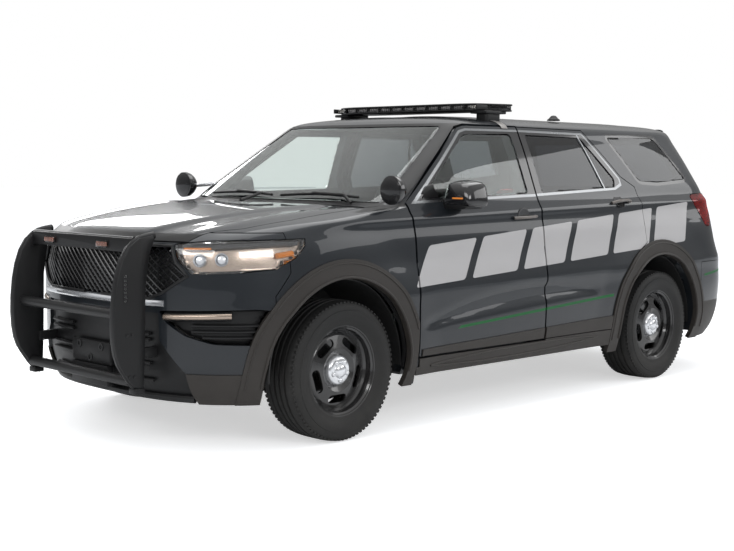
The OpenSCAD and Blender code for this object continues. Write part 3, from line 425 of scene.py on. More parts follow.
AXLES = (-1.5125, 1.5125)
HUB_Z = 0.372
along = np.gradient(sheet, axis=1)
upward = np.gradient(sheet, axis=0)
normals = np.cross(along, upward)
normals /= np.maximum(np.linalg.norm(normals, axis=2, keepdims=True), 1e-9)
x, y, z = sheet[..., 0], sheet[..., 1], sheet[..., 2]
side = step_up(0.75, 0.9, x) * (1 - step_up(1.25, 1.34, z))
lift = -0.006 * np.clip((y - 0.25) / 1.3, -1.2, 1.2) ** 2 * side
for axle in AXLES:
    lift += 0.010 * (1 - step_up(0.55, 0.78, np.hypot(y - axle, z - HUB_Z))) * side
shoulder_z = 1.155 + 0.022 * (y + 1.0)
lift += side * 0.010 * bell(z, shoulder_z, 0.032)
lift -= side * 0.011 * bell(z, 0.96 + 0.02 * y, 0.10) * (1 - step_up(1.5, 2.1, y)) * step_up(-2.1, -1.6, y)
lift += side * 0.006 * bell(z, 0.76 + 0.02 * y, 0.05)
share = np.clip((y + 0.924) / 1.695, 0, 1)
chord = 0.545 + 0.105 * share
arc = 0.094 * 4 * share * (1 - share) + 1e-6
climb = np.clip((z - chord) / arc, 0, 1)
scoop = climb * (1 - step_up(0.0, 0.055, z - chord - arc)) * (arc / 0.094) ** 0.5
lift -= side * 0.026 * scoop
top = step_up(1.07, 1.10, z) * (1 - step_up(-1.30, -1.20, y)) * step_up(0.6, 0.85, normals[..., 2])
crease = 0.34 + 0.20 * np.clip((y + 2.3) / 1.1, 0, 1)
lift += top * 0.014 * (1 - step_up(0, 0.05, np.abs(x) - crease))
lift += top * 0.010 * bell(np.abs(x), crease + 0.27, 0.06)
roof_rib = step_up(1.745, 1.75, z)
lift += roof_rib * 0.003 * (bell(np.abs(x), 0.18, 0.02) + bell(np.abs(x), 0.36, 0.02))
lift[:, 0] *= 1
sheet = sheet + normals * lift[..., None]
sheet[:, 0, 0] = 0
sheet[:, -1, 0] = 0
print("largest offset (m)", float(np.abs(lift).max()))

# %% The grid laid over the car
skin = bmesh.new()
bmesh.ops.create_grid(skin, x_segments=COLUMNS, y_segments=len(rows) - 1, size=1)
for v in skin.verts:
    i = round((v.co.x + 1) / 2 * COLUMNS)
    j = round((v.co.y + 1) / 2 * (len(rows) - 1))
    v.co = sheet[j, i]
skin.normal_update()
skin_tree = BVHTree.FromBMesh(skin)
print("skin faces", len(skin.faces))

# %% [markdown]
# ## Cutting the panels
# Panel lines are drawn as flat outlines: doors and windows from the side, lamps from the front,
# the bonnet from above. Each outline slices the faces it crosses, so that no face lies on both
# sides of a line, and then faces are sorted by where their middles are. Two outlines a few
# millimetres apart leave the gap between two panels.

# %% Outlines and the slicer
SIDE, FRONT, TOP = (1, 2), (0, 2), (0, 1)

def grow(outline, amount):
    """The outline moved outwards by an amount, corner by corner."""
    area = sum(p[0] * q[1] - q[0] * p[1] for p, q in zip(outline, outline[1:] + outline[:1]))
    turn_sign = 1 if area > 0 else -1
    moved = []
    for k, p in enumerate(outline):
        before, after = outline[k - 1], outline[(k + 1) % len(outline)]
        e1 = Vector((p[0] - before[0], p[1] - before[1])).normalized()
        e2 = Vector((after[0] - p[0], after[1] - p[1])).normalized()
        n1, n2 = Vector((e1.y, -e1.x)), Vector((e2.y, -e2.x))
        half = (n1 + n2).normalized()
        reach = amount * turn_sign / max(0.35, half.dot(n1))
        moved.append((p[0] + half.x * reach, p[1] + half.y * reach))
    return moved

def rounded(outline, radius, steps=4):
    """The outline with each corner turned into a short arc."""
    points = []
    for k, p in enumerate(outline):
        p = Vector(p)
        a, b = Vector(outline[k - 1]) - p, Vector(outline[(k + 1) % len(outline)]) - p
        r = min(radius, a.length * 0.45, b.length * 0.45)
        start, end = p + a.normalized() * r, p + b.normalized() * r
        for i in range(steps + 1):
            t = i / steps
            points.append(tuple(start * (1 - t) ** 2 + p * 2 * t * (1 - t) + end * t * t))
    return points

def circle(middle, radius, steps=72):
    return [(middle[0] + radius * cos(2 * pi * k / steps), middle[1] + radius * sin(2 * pi * k / steps)) for k in range(steps)]

def inside(outline, a, b):
    odd = False
    for k, p in enumerate(outline):
        q = outline[k - 1]
        if (p[1] > b) != (q[1] > b) and a < (q[0] - p[0]) * (b - p[1]) / (q[1] - p[1]) + p[0]:
            odd = not odd
    return odd

def slice_line(bm, outline, axes, where, closed=True):
    """Cut every face that the outline crosses, seen along the third axis."""
    i, j = axes
    lo = (min(p[0] for p in outline) - 0.01, min(p[1] for p in outline) - 0.01)
    hi = (max(p[0] for p in outline) + 0.01, max(p[1] for p in outline) + 0.01)
    near = []
    for f in bm.faces:
        if not where(f.calc_center_median()):
            continue
        a = [v.co[i] for v in f.verts]
        b = [v.co[j] for v in f.verts]
        if max(a) > lo[0] and min(a) < hi[0] and max(b) > lo[1] and min(b) < hi[1]:
            near.append(f)
    pairs = list(zip(outline, outline[1:] + outline[:1])) if closed else list(zip(outline, outline[1:]))
    for p, q in pairs:
        along_line = Vector((q[0] - p[0], q[1] - p[1]))
        if along_line.length < 1e-6:
            continue
        normal, point = Vector((0, 0, 0)), Vector((0, 0, 0))
        normal[i], normal[j] = along_line.y, -along_line.x
        point[i], point[j] = p
        box_lo = (min(p[0], q[0]) - 1e-4, min(p[1], q[1]) - 1e-4)
        box_hi = (max(p[0], q[0]) + 1e-4, max(p[1], q[1]) + 1e-4)
        hit, rest = [], []
        for f in near:
            a = [v.co[i] for v in f.verts]
            b = [v.co[j] for v in f.verts]
            if max(a) > box_lo[0] and min(a) < box_hi[0] and max(b) > box_lo[1] and min(b) < box_hi[1]:
                hit.append(f)
            else:
                rest.append(f)
        if not hit:
            continue
        geometry = hit + list({e for f in hit for e in f.edges}) + list({v for f in hit for v in f.verts})
        result = bmesh.ops.bisect_plane(bm, geom=geometry, dist=1e-6, plane_co=point, plane_no=normal)
        near = rest + [g for g in result["geom"] if isinstance(g, bmesh.types.BMFace)]

def anywhere(c):
    return True
def at_side(c):
    return c.x > 0.5
def at_nose(c):
    return c.y < -1.765 and c.z > 0.2
def at_tail(c):
    return c.y > 1.95
def at_screen(c):
    return -1.3 < c.y < 0.2 and c.z > 1.2
def at_top(c):
    return c.y < -1.15 and c.z > 1.03

# %% Panel lines
front_door = [(-0.943, 0.400), (-0.950, 1.100), (-0.975, 1.243), (-0.374, 1.668), (-0.300, 1.684), (0.199, 1.688), (0.199, 0.400)]
rear_wheel_cut = [(1.5125 + 0.593 * cos(radians(a)), HUB_Z + 0.593 * sin(radians(a))) for a in range(178, 118, -4)]
rear_door = ([(0.217, 0.400), (0.217, 1.688), (0.900, 1.684), (1.185, 1.385), (1.322, 1.315), (1.345, 1.200), (1.345, 0.95)]
             + [p for p in reversed(rear_wheel_cut) if p[0] < 1.335 and p[1] > 0.41] + [(0.922, 0.400)])
front_window = rounded([(-0.860, 1.262), (-0.335, 1.636), (0.123, 1.648), (0.133, 1.284)], 0.03)
rear_window = rounded([(0.273, 1.288), (0.268, 1.646), (0.855, 1.640), (1.110, 1.372), (1.090, 1.318)], 0.02)
quarter_window = rounded([(1.165, 1.650), (1.745, 1.656), (2.010, 1.370), (1.625, 1.347), (1.400, 1.358)], 0.035)
front_band = [(-0.945, 1.236), (-0.366, 1.657), (-0.300, 1.671), (0.212, 1.675), (0.212, 1.266)]
front_band_inner = [(-0.892, 1.251), (-0.358, 1.644), (-0.297, 1.658), (0.214, 1.662), (0.214, 1.281)]
rear_band = [(0.204, 1.267), (0.204, 1.675), (0.895, 1.671), (1.172, 1.378), (1.176, 1.330), (1.090, 1.301)]
rear_band_inner = [(0.202, 1.282), (0.202, 1.662), (0.889, 1.658), (1.158, 1.372), (1.158, 1.343), (1.085, 1.315)]
divider = [(0.822, 1.668), (0.836, 1.668), (0.985, 1.290), (0.971, 1.290)]
tail_lamp = rounded([(2.000, 1.240), (2.040, 1.265), (2.700, 1.275), (2.700, 1.180), (2.260, 1.100), (2.205, 1.035),
                     (2.150, 1.040), (2.070, 1.155)], 0.02)
bumper_side = [(-2.70, 0.200), (-1.960, 0.200), (-1.960, 0.790), (-1.870, 0.905), (-1.870, 1.100), (-2.70, 1.100)]
rear_bumper_side = [(2.051, 0.20), (2.80, 0.20), (2.80, 0.783), (2.051, 0.783)]
gate_depth = [(2.038, 1.90), (2.038, 1.690), (2.105, 1.680), (2.245, 1.400), (2.365, 1.200), (2.430, 0.790), (2.80, 0.790), (2.80, 1.90)]
sill_line = [(-1.10, 0.428), (1.10, 0.488)]
headlamp = rounded([(0.562, 1.044), (0.600, 0.960), (0.673, 0.900), (0.830, 0.908), (1.200, 0.985), (1.200, 1.078), (0.700, 1.062)], 0.012)
lamp_end = rounded([(-2.80, 0.80), (-1.990, 0.80), (-1.940, 0.930), (-1.835, 0.978), (-1.772, 1.035), (-1.758, 1.100), (-2.80, 1.100)], 0.012)
grille_mouth = [(-0.10, 1.035), (0.552, 1.035), (0.590, 0.950), (0.650, 0.890), (0.520, 0.800), (0.440, 0.770), (-0.10, 0.770)]
nose_plate = [(-0.10, 0.700), (0.500, 0.700), (0.505, 0.560), (0.632, 0.400), (0.632, 0.0), (-0.10, 0.0)]
fog_recess = rounded([(0.500, 0.712), (0.900, 0.728), (0.985, 0.700), (0.985, 0.480), (0.905, 0.545), (0.760, 0.552), (0.640, 0.590),
                      (0.540, 0.655)], 0.015)
skirt = [(0.0, 0.400), (1.20, 0.400), (1.20, 0.0), (0.0, 0.0)]
windscreen = rounded([(-0.4, 1.238), (0.812, 1.238), (0.662, 1.683), (-0.4, 1.683)], 0.03)
gate_half = [(0.783, 0.770), (1.030, 0.800), (1.200, 0.760), (1.400, 0.748), (1.640, 0.688), (1.900, 0.600)]
gate_rear = [(-0.1, 0.783)] + [(b, a) for a, b in gate_half] + [(-0.1, 1.90)]
gate_window = rounded([(-0.4, 1.300), (0.660, 1.300), (0.585, 1.630), (-0.4, 1.630)], 0.03)
bonnet = [(-0.1, -2.60), (0.560, -2.600), (0.605, -2.290), (0.745, -2.010), (0.800, -1.750), (0.822, -1.400), (0.822, -1.218), (-0.1, -1.218)]
GAP = 0.004
blocks = []
for k in range(6):
    a, b = k / 6 + 0.010, (k + 1) / 6 - 0.012
    top_line = [(-0.879 + 2.863 * t, 1.004 + 0.211 * t) for t in (a, b)]
    low_line = [(-1.016 + 2.890 * t, 0.777 + 0.164 * t) for t in (a, b)]
    blocks.append(rounded([low_line[0], low_line[1], top_line[1], top_line[0]], 0.022))
stripe = [(-0.620, 0.524), (0.935, 0.610), (0.935, 0.627), (-0.596, 0.541)]
rear_stripe = [(2.100, 0.680), (2.620, 0.728), (2.620, 0.745), (2.100, 0.697)]
line_jobs = [
    (grow(front_door, GAP / 2), SIDE, at_side), (grow(front_door, GAP * 4), SIDE, at_side),
    (grow(rear_door, GAP / 2), SIDE, at_side), (grow(rear_door, GAP * 2), SIDE, at_side),
    (front_window, SIDE, at_side), (rear_window, SIDE, at_side), (quarter_window, SIDE, at_side),
    (grow(quarter_window, 0.022), SIDE, at_side), (divider, SIDE, at_side),
    (front_band, SIDE, at_side), (front_band_inner, SIDE, at_side), (rear_band, SIDE, at_side), (rear_band_inner, SIDE, at_side),
    (tail_lamp, SIDE, at_side), (grow(tail_lamp, GAP), SIDE, at_side),
    (bumper_side, SIDE, lambda c: c.y < -1.8), (grow(bumper_side, GAP), SIDE, lambda c: c.y < -1.8),
    (rear_bumper_side, SIDE, at_tail), (grow(rear_bumper_side, GAP), SIDE, at_tail),
    (gate_depth, SIDE, at_tail), (gate_rear, FRONT, at_tail), (grow(gate_rear, GAP), FRONT, at_tail), (gate_window, FRONT, at_tail),
    (headlamp, FRONT, at_nose), (grow(headlamp, GAP), FRONT, at_nose),
    (lamp_end, SIDE, lambda c: c.y < -1.70 and c.z > 0.85), (grow(lamp_end, GAP), SIDE, lambda c: c.y < -1.70 and c.z > 0.85),
    (grille_mouth, FRONT, at_nose), (nose_plate, FRONT, at_nose),
    (fog_recess, FRONT, at_nose), (skirt, FRONT, at_nose), (windscreen, FRONT, at_screen),
    (bonnet, TOP, at_top), (grow(bonnet, GAP), TOP, at_top),
    ([(-0.1, 1.052), (1.2, 1.052), (1.2, 1.059), (-0.1, 1.059)], FRONT, at_nose),
]
line_jobs += [(block, SIDE, at_side) for block in blocks + [stripe, rear_stripe]]
# The first cut below marks off the hood's front lip under 1.094 m, which is painted black as painted shade
line_jobs += [([(-0.1, 1.094), (1.2, 1.094), (1.2, 0.2), (-0.1, 0.2)], FRONT, lambda c: c.y < -1.9 and c.z > 1.05),
              ([(1.9, 0.2), (2.8, 0.2), (2.8, 0.500), (1.9, 0.500)], SIDE, at_tail)]
for axle in AXLES:
    line_jobs += [(circle((axle, HUB_Z), 0.485), SIDE, at_side), (circle((axle, HUB_Z), 0.588), SIDE, at_side)]
import time
clock = time.time()
for outline, axes, where in line_jobs:
    slice_line(skin, outline, axes, where)
slice_line(skin, sill_line, SIDE, at_side, closed=False)
slice_line(skin, [(-1.3, 0.290), (1.3, 0.290)], SIDE, at_side, closed=False)
for y, top_z in ((0.194, 0.480), (-0.925, 0.480), (-0.966, 0.700)):
    slice_line(skin, [(y, 0.24), (y, top_z)], SIDE, at_side, closed=False)
slice_line(skin, [(-0.1, -1.196), (0.86, -1.196), (0.86, -1.230)], TOP, at_top, closed=False)
print("lines cut in", round(time.time() - clock, 1), "s; faces", len(skin.faces))

# %% Sorting the faces into panels
panel_of = skin.faces.layers.int.new("panel")
finish_of = skin.faces.layers.int.new("finish")
LABELS = ["none", "front_door", "rear_door", "front_glass", "rear_glass", "quarter_glass", "body_side", "fender", "hood", "front_bumper",
          "rear_bumper", "roof", "gate", "gate_glass", "windscreen", "headlamp", "tail_lamp", "cowl", "sill", "front_sill", "rear_sill",
          "arch_trim", "skirt", "rear_skirt", "mouth", "lower_mouth", "recess", "front_trim", "rear_trim"]
number = {name: k for k, name in enumerate(LABELS)}
grown = {name: grow(line, amount) for name, line, amount in [
    ("front_door_in", front_door, GAP / 2), ("front_door_out", front_door, GAP * 4), ("rear_door_in", rear_door, GAP / 2),
    ("rear_door_out", rear_door, GAP * 2), ("tail", tail_lamp, GAP), ("bumper", bumper_side, GAP), ("rear_bumper", rear_bumper_side, GAP),
    ("gate", gate_rear, GAP), ("lamp", headlamp, GAP), ("lamp_end", lamp_end, GAP), ("bonnet", bonnet, GAP), ("quarter", quarter_window, 0.022)]}

def sort_face(c):
    """(panel, finish) of a face from its middle; finish 1 is gloss black, 2 is satin grey, 3 is moulded black."""
    x, y, z = c
    wheel = min(hypot(y - axle, z - HUB_Z) for axle in AXLES)
    if x > 0.5 and wheel < 0.4849:
        return "none", 0
    if inside(headlamp, x, z) and inside(lamp_end, y, z):
        return "headlamp", 0
    if inside(grown["lamp"], x, z) and inside(grown["lamp_end"], y, z):
        return "none", 0
    if x > 0.5 and wheel < 0.5879 and z > 0.24 and not -0.966 < y < 0:
        return "arch_trim", 0
    if x > 0.5 and inside(tail_lamp, y, z):
        return "tail_lamp", 0
    if x > 0.5 and inside(grown["tail"], y, z):
        return "none", 0
    if y < -1.765:
        if inside(grille_mouth, x, z):
            return "mouth", 0
        if z < 0.40 and inside(skirt, x, z) and not inside(nose_plate, x, z):
            return "skirt", 3
        if inside(nose_plate, x, z):
            return "lower_mouth", 3
        if inside(fog_recess, x, z):
            return "recess", 3
    if y < -1.204 and inside(bonnet, x, y) and z > 1.0589:
        return "hood", 0
    if y < -1.204 and inside(grown["bonnet"], x, y) and z > 1.0519:
        return "none", 0
    if -1.222 < y < -1.196 and x < 0.86 and z > 1.15:
        return "none", 0
    if inside(bumper_side, y, z) or (y < -2.1 and x < 0.605 and z < 1.052):
        return ("front_bumper", 0)
    if inside(grown["bumper"], y, z):
        return "none", 0
    if -1.3 < y < 0.2 and z > 1.2 and inside(windscreen, x, z):
        return "windscreen", 0
    if z > 1.6999:
        if y > 2.0379 and inside(gate_depth, y, z) and inside(gate_rear, x, z):
            return "gate", 0
        return "roof", 0
    if x > 0.5:
        if inside(grown["front_door_in"], y, z):
            if inside(front_window, y, z):
                return "front_glass", 0
            if z < 0.458 + 0.02727 * y:
                return ("front_sill", 0) if -0.925 < y < 0.194 else ("front_door" if y < 0 else "none", 0)
            if inside(front_band_inner, y, z):
                return "front_door", 1
            if inside(front_band, y, z):
                return "front_trim", 2
            return "front_door", 0
        if inside(grown["rear_door_in"], y, z):
            if inside(divider, y, z) and inside(rear_band_inner, y, z):
                return "rear_trim", 2
            if inside(rear_window, y, z):
                return "rear_glass", 0
            if z < 0.458 + 0.02727 * y:
                return "rear_sill", 0
            if inside(rear_band_inner, y, z):
                return "rear_door", 1
            if inside(rear_band, y, z):
                return "rear_trim", 2
            return "rear_door", 0
        if inside(grown["front_door_out"], y, z) or inside(grown["rear_door_out"], y, z):
            return "none", 0
    if inside(rear_bumper_side, y, z):
        return "rear_bumper", 0
    if inside(grown["rear_bumper"], y, z):
        return "none", 0
    if y > 2.03 and inside(gate_depth, y, z):
        if inside(gate_window, x, z):
            return "gate_glass", 0
        if inside(gate_rear, x, z):
            return "gate", 0
        if inside(grown["gate"], x, z):
            return "none", 0
    if x > 0.5 and inside(quarter_window, y, z):
        return "quarter_glass", 0
    if x > 0.5 and inside(grown["quarter"], y, z):
        return "body_side", 1
    if y < -0.95 and z < 1.2249 and x > 0.5:
        return "fender", 0
    if y < -0.95 and z < 1.25:
        return "cowl", 3
    if z < 0.458 + 0.02727 * y and -1.1 < y < 1.1:
        return ("sill", 0) if z > 0.29 else ("none", 0)
    if z > 1.2249 and y < -0.2:
        return "body_side", 3
    return "body_side", 0

for f in skin.faces:
    middle = f.calc_center_median()
    panel, tone = sort_face(middle)
    if tone == 0 and panel in ("front_door", "rear_door", "body_side", "fender", "rear_bumper"):
        if any(inside(block, middle.y, middle.z) for block in blocks):
            tone = 4
        if inside(stripe, middle.y, middle.z) or inside(rear_stripe, middle.y, middle.z):
            tone = 5
    # Painted shade: the hood's front lip below 1.094 m gets the moulded black finish to stand for the shade on the lip;
    # it is not a black part
    if panel == "hood" and middle.z < 1.094 and middle.y < -1.9:
        tone = 3
    if panel in ("rear_bumper", "body_side") and middle.y > 1.95 and middle.z < 0.500:
        tone = 6
    f[panel_of] = number[panel]
    f[finish_of] = tone
count = {}
for f in skin.faces:
    count[LABELS[f[panel_of]]] = count.get(LABELS[f[panel_of]], 0) + 1
print("panels", count)

# %% [markdown]
# Each panel is lifted out of the skin as its own sheet, given a thickness and a fine rounded edge.
# Panels on the right are the same sheets turned over, and panels across the middle are joined halves.

# %% Lifting a panel out
panel_materials = [paint, gloss_black, satin_grey, satin_black, livery, green_film, cladding]

def lift_panel(name, panels, thickness=0.012, push=0.0, halves="left", materials=None, bevel=0.0015):
    bm = skin.copy()
    wanted = {number[p] for p in panels}
    layer = bm.faces.layers.int["panel"]
    tones = bm.faces.layers.int["finish"]
    bmesh.ops.delete(bm, geom=[f for f in bm.faces if f[layer] not in wanted], context="FACES")
    for f in bm.faces:
        f.smooth = True
        f.material_index = f[tones] if materials is None else 0
    bm.normal_update()
    if push:
        moves = [(v, v.co + v.normal * push) for v in bm.verts]
        for v, place in moves:
            v.co = place if v.co.x > 1e-5 else Vector((0, place.y, place.z))
    if halves == "both":
        geometry = bm.verts[:] + bm.edges[:] + bm.faces[:]
        bmesh.ops.mirror(bm, geom=geometry, matrix=Matrix.Identity(4), merge_dist=1e-4, axis="X")
        bmesh.ops.recalc_face_normals(bm, faces=bm.faces[:])
    if halves == "right":
        bmesh.ops.scale(bm, vec=(-1, 1, 1), verts=bm.verts)
        bmesh.ops.reverse_faces(bm, faces=bm.faces[:])
    mesh = bpy.data.meshes.new(name)
    bm.to_mesh(mesh)
    bm.free()
    for mat in (materials or panel_materials):
        mesh.materials.append(mat)
    piece = new_object(name, mesh)
    wall = piece.modifiers.new("wall", "SOLIDIFY")
    wall.thickness = thickness
    wall.offset = -1
    wall.use_even_offset = False
    if bevel:
        edge = piece.modifiers.new("edge", "BEVEL")
        edge.width = bevel
        edge.segments = 2
        edge.limit_method = "ANGLE"
        edge.angle_limit = radians(50)
        edge.harden_normals = True
    return piece

def both_sides(name, panels, body, slot, node=None, **how):
    for side_name in ("left", "right"):
        piece = lift_panel(f"{name}_{side_name}", panels, halves=side_name, **how)
        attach(piece, body.replace("SIDE", side_name))
        if node:
            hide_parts(node.replace("SIDE", side_name))
    return piece

def across(name, panels, body, slot, node=None, **how):
    piece = lift_panel(name, panels, halves="both", **how)
    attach(piece, body)
    if node:
        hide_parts(node)
    return piece

# %% Painted panels
both_sides("door_skin_front", ["front_door", "front_trim"], "front_door_SIDE", "paint")
both_sides("door_skin_rear", ["rear_door", "rear_trim"], "rear_door_SIDE", "paint")
both_sides("fender_skin", ["fender"], "body", "paint")
both_sides("quarter_skin", ["body_side"], "body", "paint")
across("roof_skin", ["roof"], "body", "paint", thickness=0.018)
across("hood_skin", ["hood"], "hood", "paint", node="hood", thickness=0.012, bevel=0.003)
across("front_bumper_skin", ["front_bumper"], "body", "paint", thickness=0.030)
across("rear_bumper_skin", ["rear_bumper"], "body", "paint", node="rear_bumper")
across("gate_skin", ["gate"], "liftgate", "paint")
across("cowl_skin", ["cowl"], "body", "black_plastic", materials=[satin_black])
across("skirt_front", ["skirt"], "body", "cladding", materials=[cladding], push=0.006)

# %% Glass
both_sides("door_glass_front", ["front_glass"], "front_door_SIDE", "clear_glass", node="front_glass_SIDE",
           materials=[clear_glass], push=-0.006, thickness=0.004, bevel=0)
both_sides("door_glass_rear", ["rear_glass"], "rear_door_SIDE", "dark_glass", node="rear_glass_SIDE",
           materials=[dark_glass], push=-0.006, thickness=0.004, bevel=0)
both_sides("quarter_pane", ["quarter_glass"], "body", "dark_glass", node="quarter_glass", materials=[dark_glass], push=-0.002, thickness=0.004, bevel=0)
across("windscreen_pane", ["windscreen"], "body", "clear_glass", node="windscreen", materials=[clear_glass], push=-0.003,
       thickness=0.005, bevel=0)
across("gate_pane", ["gate_glass"], "liftgate", "dark_glass", node="liftgate_glass", materials=[dark_glass], push=-0.003,
       thickness=0.004, bevel=0)
both_sides("headlamp_lens", ["headlamp"], "body", "lamp_lens", node="front_lamps", materials=[lens], push=-0.001, thickness=0.003, bevel=0)
both_sides("tail_lens", ["tail_lamp"], "body", "red_lens", materials=[red_lens], push=0.002, thickness=0.004, bevel=0.001)

# %% Trims pushed out of the skin
both_sides("arch_trim", ["arch_trim"], "body", "cladding", node="arch_trims", materials=[cladding], push=0.010, thickness=0.030, bevel=0.006)
both_sides("sill_cladding", ["sill"], "body", "cladding", materials=[cladding], push=0.008, thickness=0.010, bevel=0.003)
both_sides("door_cladding_front", ["front_sill"], "front_door_SIDE", "cladding", materials=[cladding], push=0.008, thickness=0.020, bevel=0.003)
both_sides("door_cladding_rear", ["rear_sill"], "rear_door_SIDE", "cladding", materials=[cladding], push=0.008, thickness=0.020, bevel=0.003)
print("trims made")

# %% [markdown]
# Behind every skin the CAD panel's inner body stays: its frame, its shut faces and its hinges.
# A merged copy is drawn in by the skin's thickness, so that it never shows through the paint.

# %% Inner bodies
def inner_copy(name, nodes, body, mat, shift, hide=True):
    bm = bmesh.new()
    for node in nodes:
        bm.from_mesh(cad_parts[node].data)
    bmesh.ops.remove_doubles(bm, verts=bm.verts, dist=1e-5)
    for v in bm.verts:
        v.co += shift(v.co)
    mesh = bpy.data.meshes.new(name)
    bm.to_mesh(mesh)
    bm.free()
    mesh.materials.append(mat)
    piece = new_object(name, mesh)
    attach(piece, body)
    if hide:
        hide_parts(*nodes)
    return piece

def draw_in(amount):
    def shift(p):
        return Vector((-amount if p.x > 0.3 else amount if p.x < -0.3 else 0, 0, 0))
    return shift

for side_name in ("left", "right"):
    inner_copy(f"door_core_front_{side_name}", [f"front_door_{side_name}"], f"front_door_{side_name}", paint, draw_in(0.016))
    inner_copy(f"door_core_rear_{side_name}", [f"rear_door_{side_name}"], f"rear_door_{side_name}", paint, draw_in(0.016))
inner_copy("side_core", ["body_sides"], "body", paint, draw_in(0.018))
inner_copy("roof_core", ["roof_panel"], "body", cabin_black, lambda p: Vector((0, 0, -0.024)))
inner_copy("fender_core", ["front_fenders"], "body", satin_black, draw_in(0.026))
inner_copy("gate_core", ["liftgate"], "liftgate", paint, lambda p: Vector((0, -0.016, -0.004)))

# %% [markdown]
# ## A few modelling helpers
# Most fittings come from four starting shapes: a bevelled block, an outline given a depth,
# a profile spun round an axle, and a tube along a path. Each helper builds its shape with mesh
# operators and hands back a finished piece that rides on a body.

# %% Helpers for the fittings
def finish_piece(bm, name, mat, body, nodes=(), smooth_angle=35):
    bmesh.ops.remove_doubles(bm, verts=bm.verts, dist=1e-6)
    bmesh.ops.recalc_face_normals(bm, faces=bm.faces[:])
    mesh = bpy.data.meshes.new(name)
    bm.to_mesh(mesh)
    bm.free()
    for m in (mat if isinstance(mat, list) else [mat]):
        mesh.materials.append(m)
    mesh.shade_smooth()
    mesh.set_sharp_from_angle(angle=radians(smooth_angle))
    piece = new_object(name, mesh)
    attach(piece, body)
    if nodes:
        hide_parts(*nodes)
    return piece

def soften(bm, width, segments=2, edges=None, angle=30):
    picked = edges or [e for e in bm.edges if len(e.link_faces) == 2 and e.calc_face_angle(0) > radians(angle)]
    bmesh.ops.bevel(bm, geom=picked, offset=width, offset_type="OFFSET", segments=segments, profile=0.5, affect="EDGES",
                    clamp_overlap=True, material=-1)

def add_block(bm, lo, hi, bevel=0.003, segments=2, turn=None, about=None):
    part = bmesh.new()
    bmesh.ops.create_cube(part, size=1)
    size = Vector(hi) - Vector(lo)
    middle = (Vector(hi) + Vector(lo)) / 2
    bmesh.ops.scale(part, vec=size, verts=part.verts)
    if bevel:
        soften(part, min(bevel, min(size) * 0.45), segments)
    bmesh.ops.translate(part, vec=middle, verts=part.verts)
    if turn is not None:
        bmesh.ops.rotate(part, cent=Vector(about if about is not None else middle), matrix=turn, verts=part.verts)
    join(bm, part)

def join(bm, part):
    mesh = bpy.data.meshes.new("joint")
    part.to_mesh(mesh)
    part.free()
    bm.from_mesh(mesh)
    bpy.data.meshes.remove(mesh)

def place_on(axes, a, b, depth):
    point = Vector((0, 0, 0))
    other = ({0, 1, 2} - set(axes)).pop()
    point[axes[0]], point[axes[1]], point[other] = a, b, depth
    return point

def add_plate(bm, outline, axes, near, far, bevel=0.003, segments=2):
    part = bmesh.new()
    corners = [part.verts.new(place_on(axes, a, b, near)) for a, b in outline]
    face = part.faces.new(corners)
    grown_face = bmesh.ops.extrude_face_region(part, geom=[face])
    moved = [g for g in grown_face["geom"] if isinstance(g, bmesh.types.BMVert)]
    shift = place_on(axes, 0, 0, far - near)
    bmesh.ops.translate(part, vec=shift, verts=moved)
    bmesh.ops.recalc_face_normals(part, faces=part.faces[:])
    if bevel:
        rim = [e for e in part.edges if len(e.link_faces) == 2 and e.calc_face_angle(0) > radians(60)
               and abs(e.verts[0].co.dot(shift.normalized()) - e.verts[1].co.dot(shift.normalized())) < 1e-6]
        soften(part, bevel, segments, edges=rim)
    join(bm, part)

def add_spin(bm, profile, centre, axis, steps=64, start=(0, 0, 1)):
    """Spin (distance along the axis, radius) points round an axis through centre."""
    part = bmesh.new()
    axis = Vector(axis).normalized()
    out = Vector(start)
    out = (out - axis * out.dot(axis)).normalized()
    points = [part.verts.new(Vector(centre) + axis * a + out * max(r, 1e-5)) for a, r in profile]
    for a, b in zip(points, points[1:]):
        part.edges.new((a, b))
    bmesh.ops.spin(part, geom=part.verts[:] + part.edges[:], cent=centre, axis=axis, dvec=(0, 0, 0), angle=2 * pi,
                   steps=steps, use_merge=True)
    bmesh.ops.remove_doubles(part, verts=part.verts, dist=2e-5)
    bmesh.ops.recalc_face_normals(part, faces=part.faces[:])
    join(bm, part)

def add_tube(bm, path, radius, steps=12, flat=1.0, closed=False):
    """A tube whose rings follow a path; flat squeezes it across its second direction."""
    part = bmesh.new()
    path = [Vector(p) for p in path]
    rings = []
    side_dir = None
    for k, p in enumerate(path):
        ahead = path[min(k + 1, len(path) - 1)] - path[max(k - 1, 0)]
        ahead.normalize()
        if side_dir is None:
            side_dir = ahead.cross(Vector((0, 0, 1))) if abs(ahead.z) < 0.9 else ahead.cross(Vector((1, 0, 0)))
        side_dir = (side_dir - ahead * side_dir.dot(ahead)).normalized()
        other = ahead.cross(side_dir)
        ring = bmesh.ops.create_circle(part, segments=steps, radius=radius)["verts"]
        turn = Matrix((side_dir, other * flat, ahead)).transposed()
        for v in ring:
            v.co = p + turn @ v.co
        rings.append(list({e for v in ring for e in v.link_edges}))
    for a, b in zip(rings, rings[1:]):
        bmesh.ops.bridge_loops(part, edges=a + b)
    for ring in (rings[0], rings[-1]):
        bmesh.ops.edgeloop_fill(part, edges=ring)
    bmesh.ops.recalc_face_normals(part, faces=part.faces[:])
    join(bm, part)

def curve_through(points, parts=6):
    """A smooth path through a few points."""
    points = [Vector(p) for p in points]
    path = []
    for k in range(len(points) - 1):
        a, b, c, d = points[max(k - 1, 0)], points[k], points[k + 1], points[min(k + 2, len(points) - 1)]
        for i in range(parts):
            t = i / parts
            path.append(0.5 * ((2 * b) + (c - a) * t + (2 * a - 5 * b + 4 * c - d) * t * t + (3 * b - a - 3 * c + d) * t ** 3))
    path.append(points[-1])
    return path

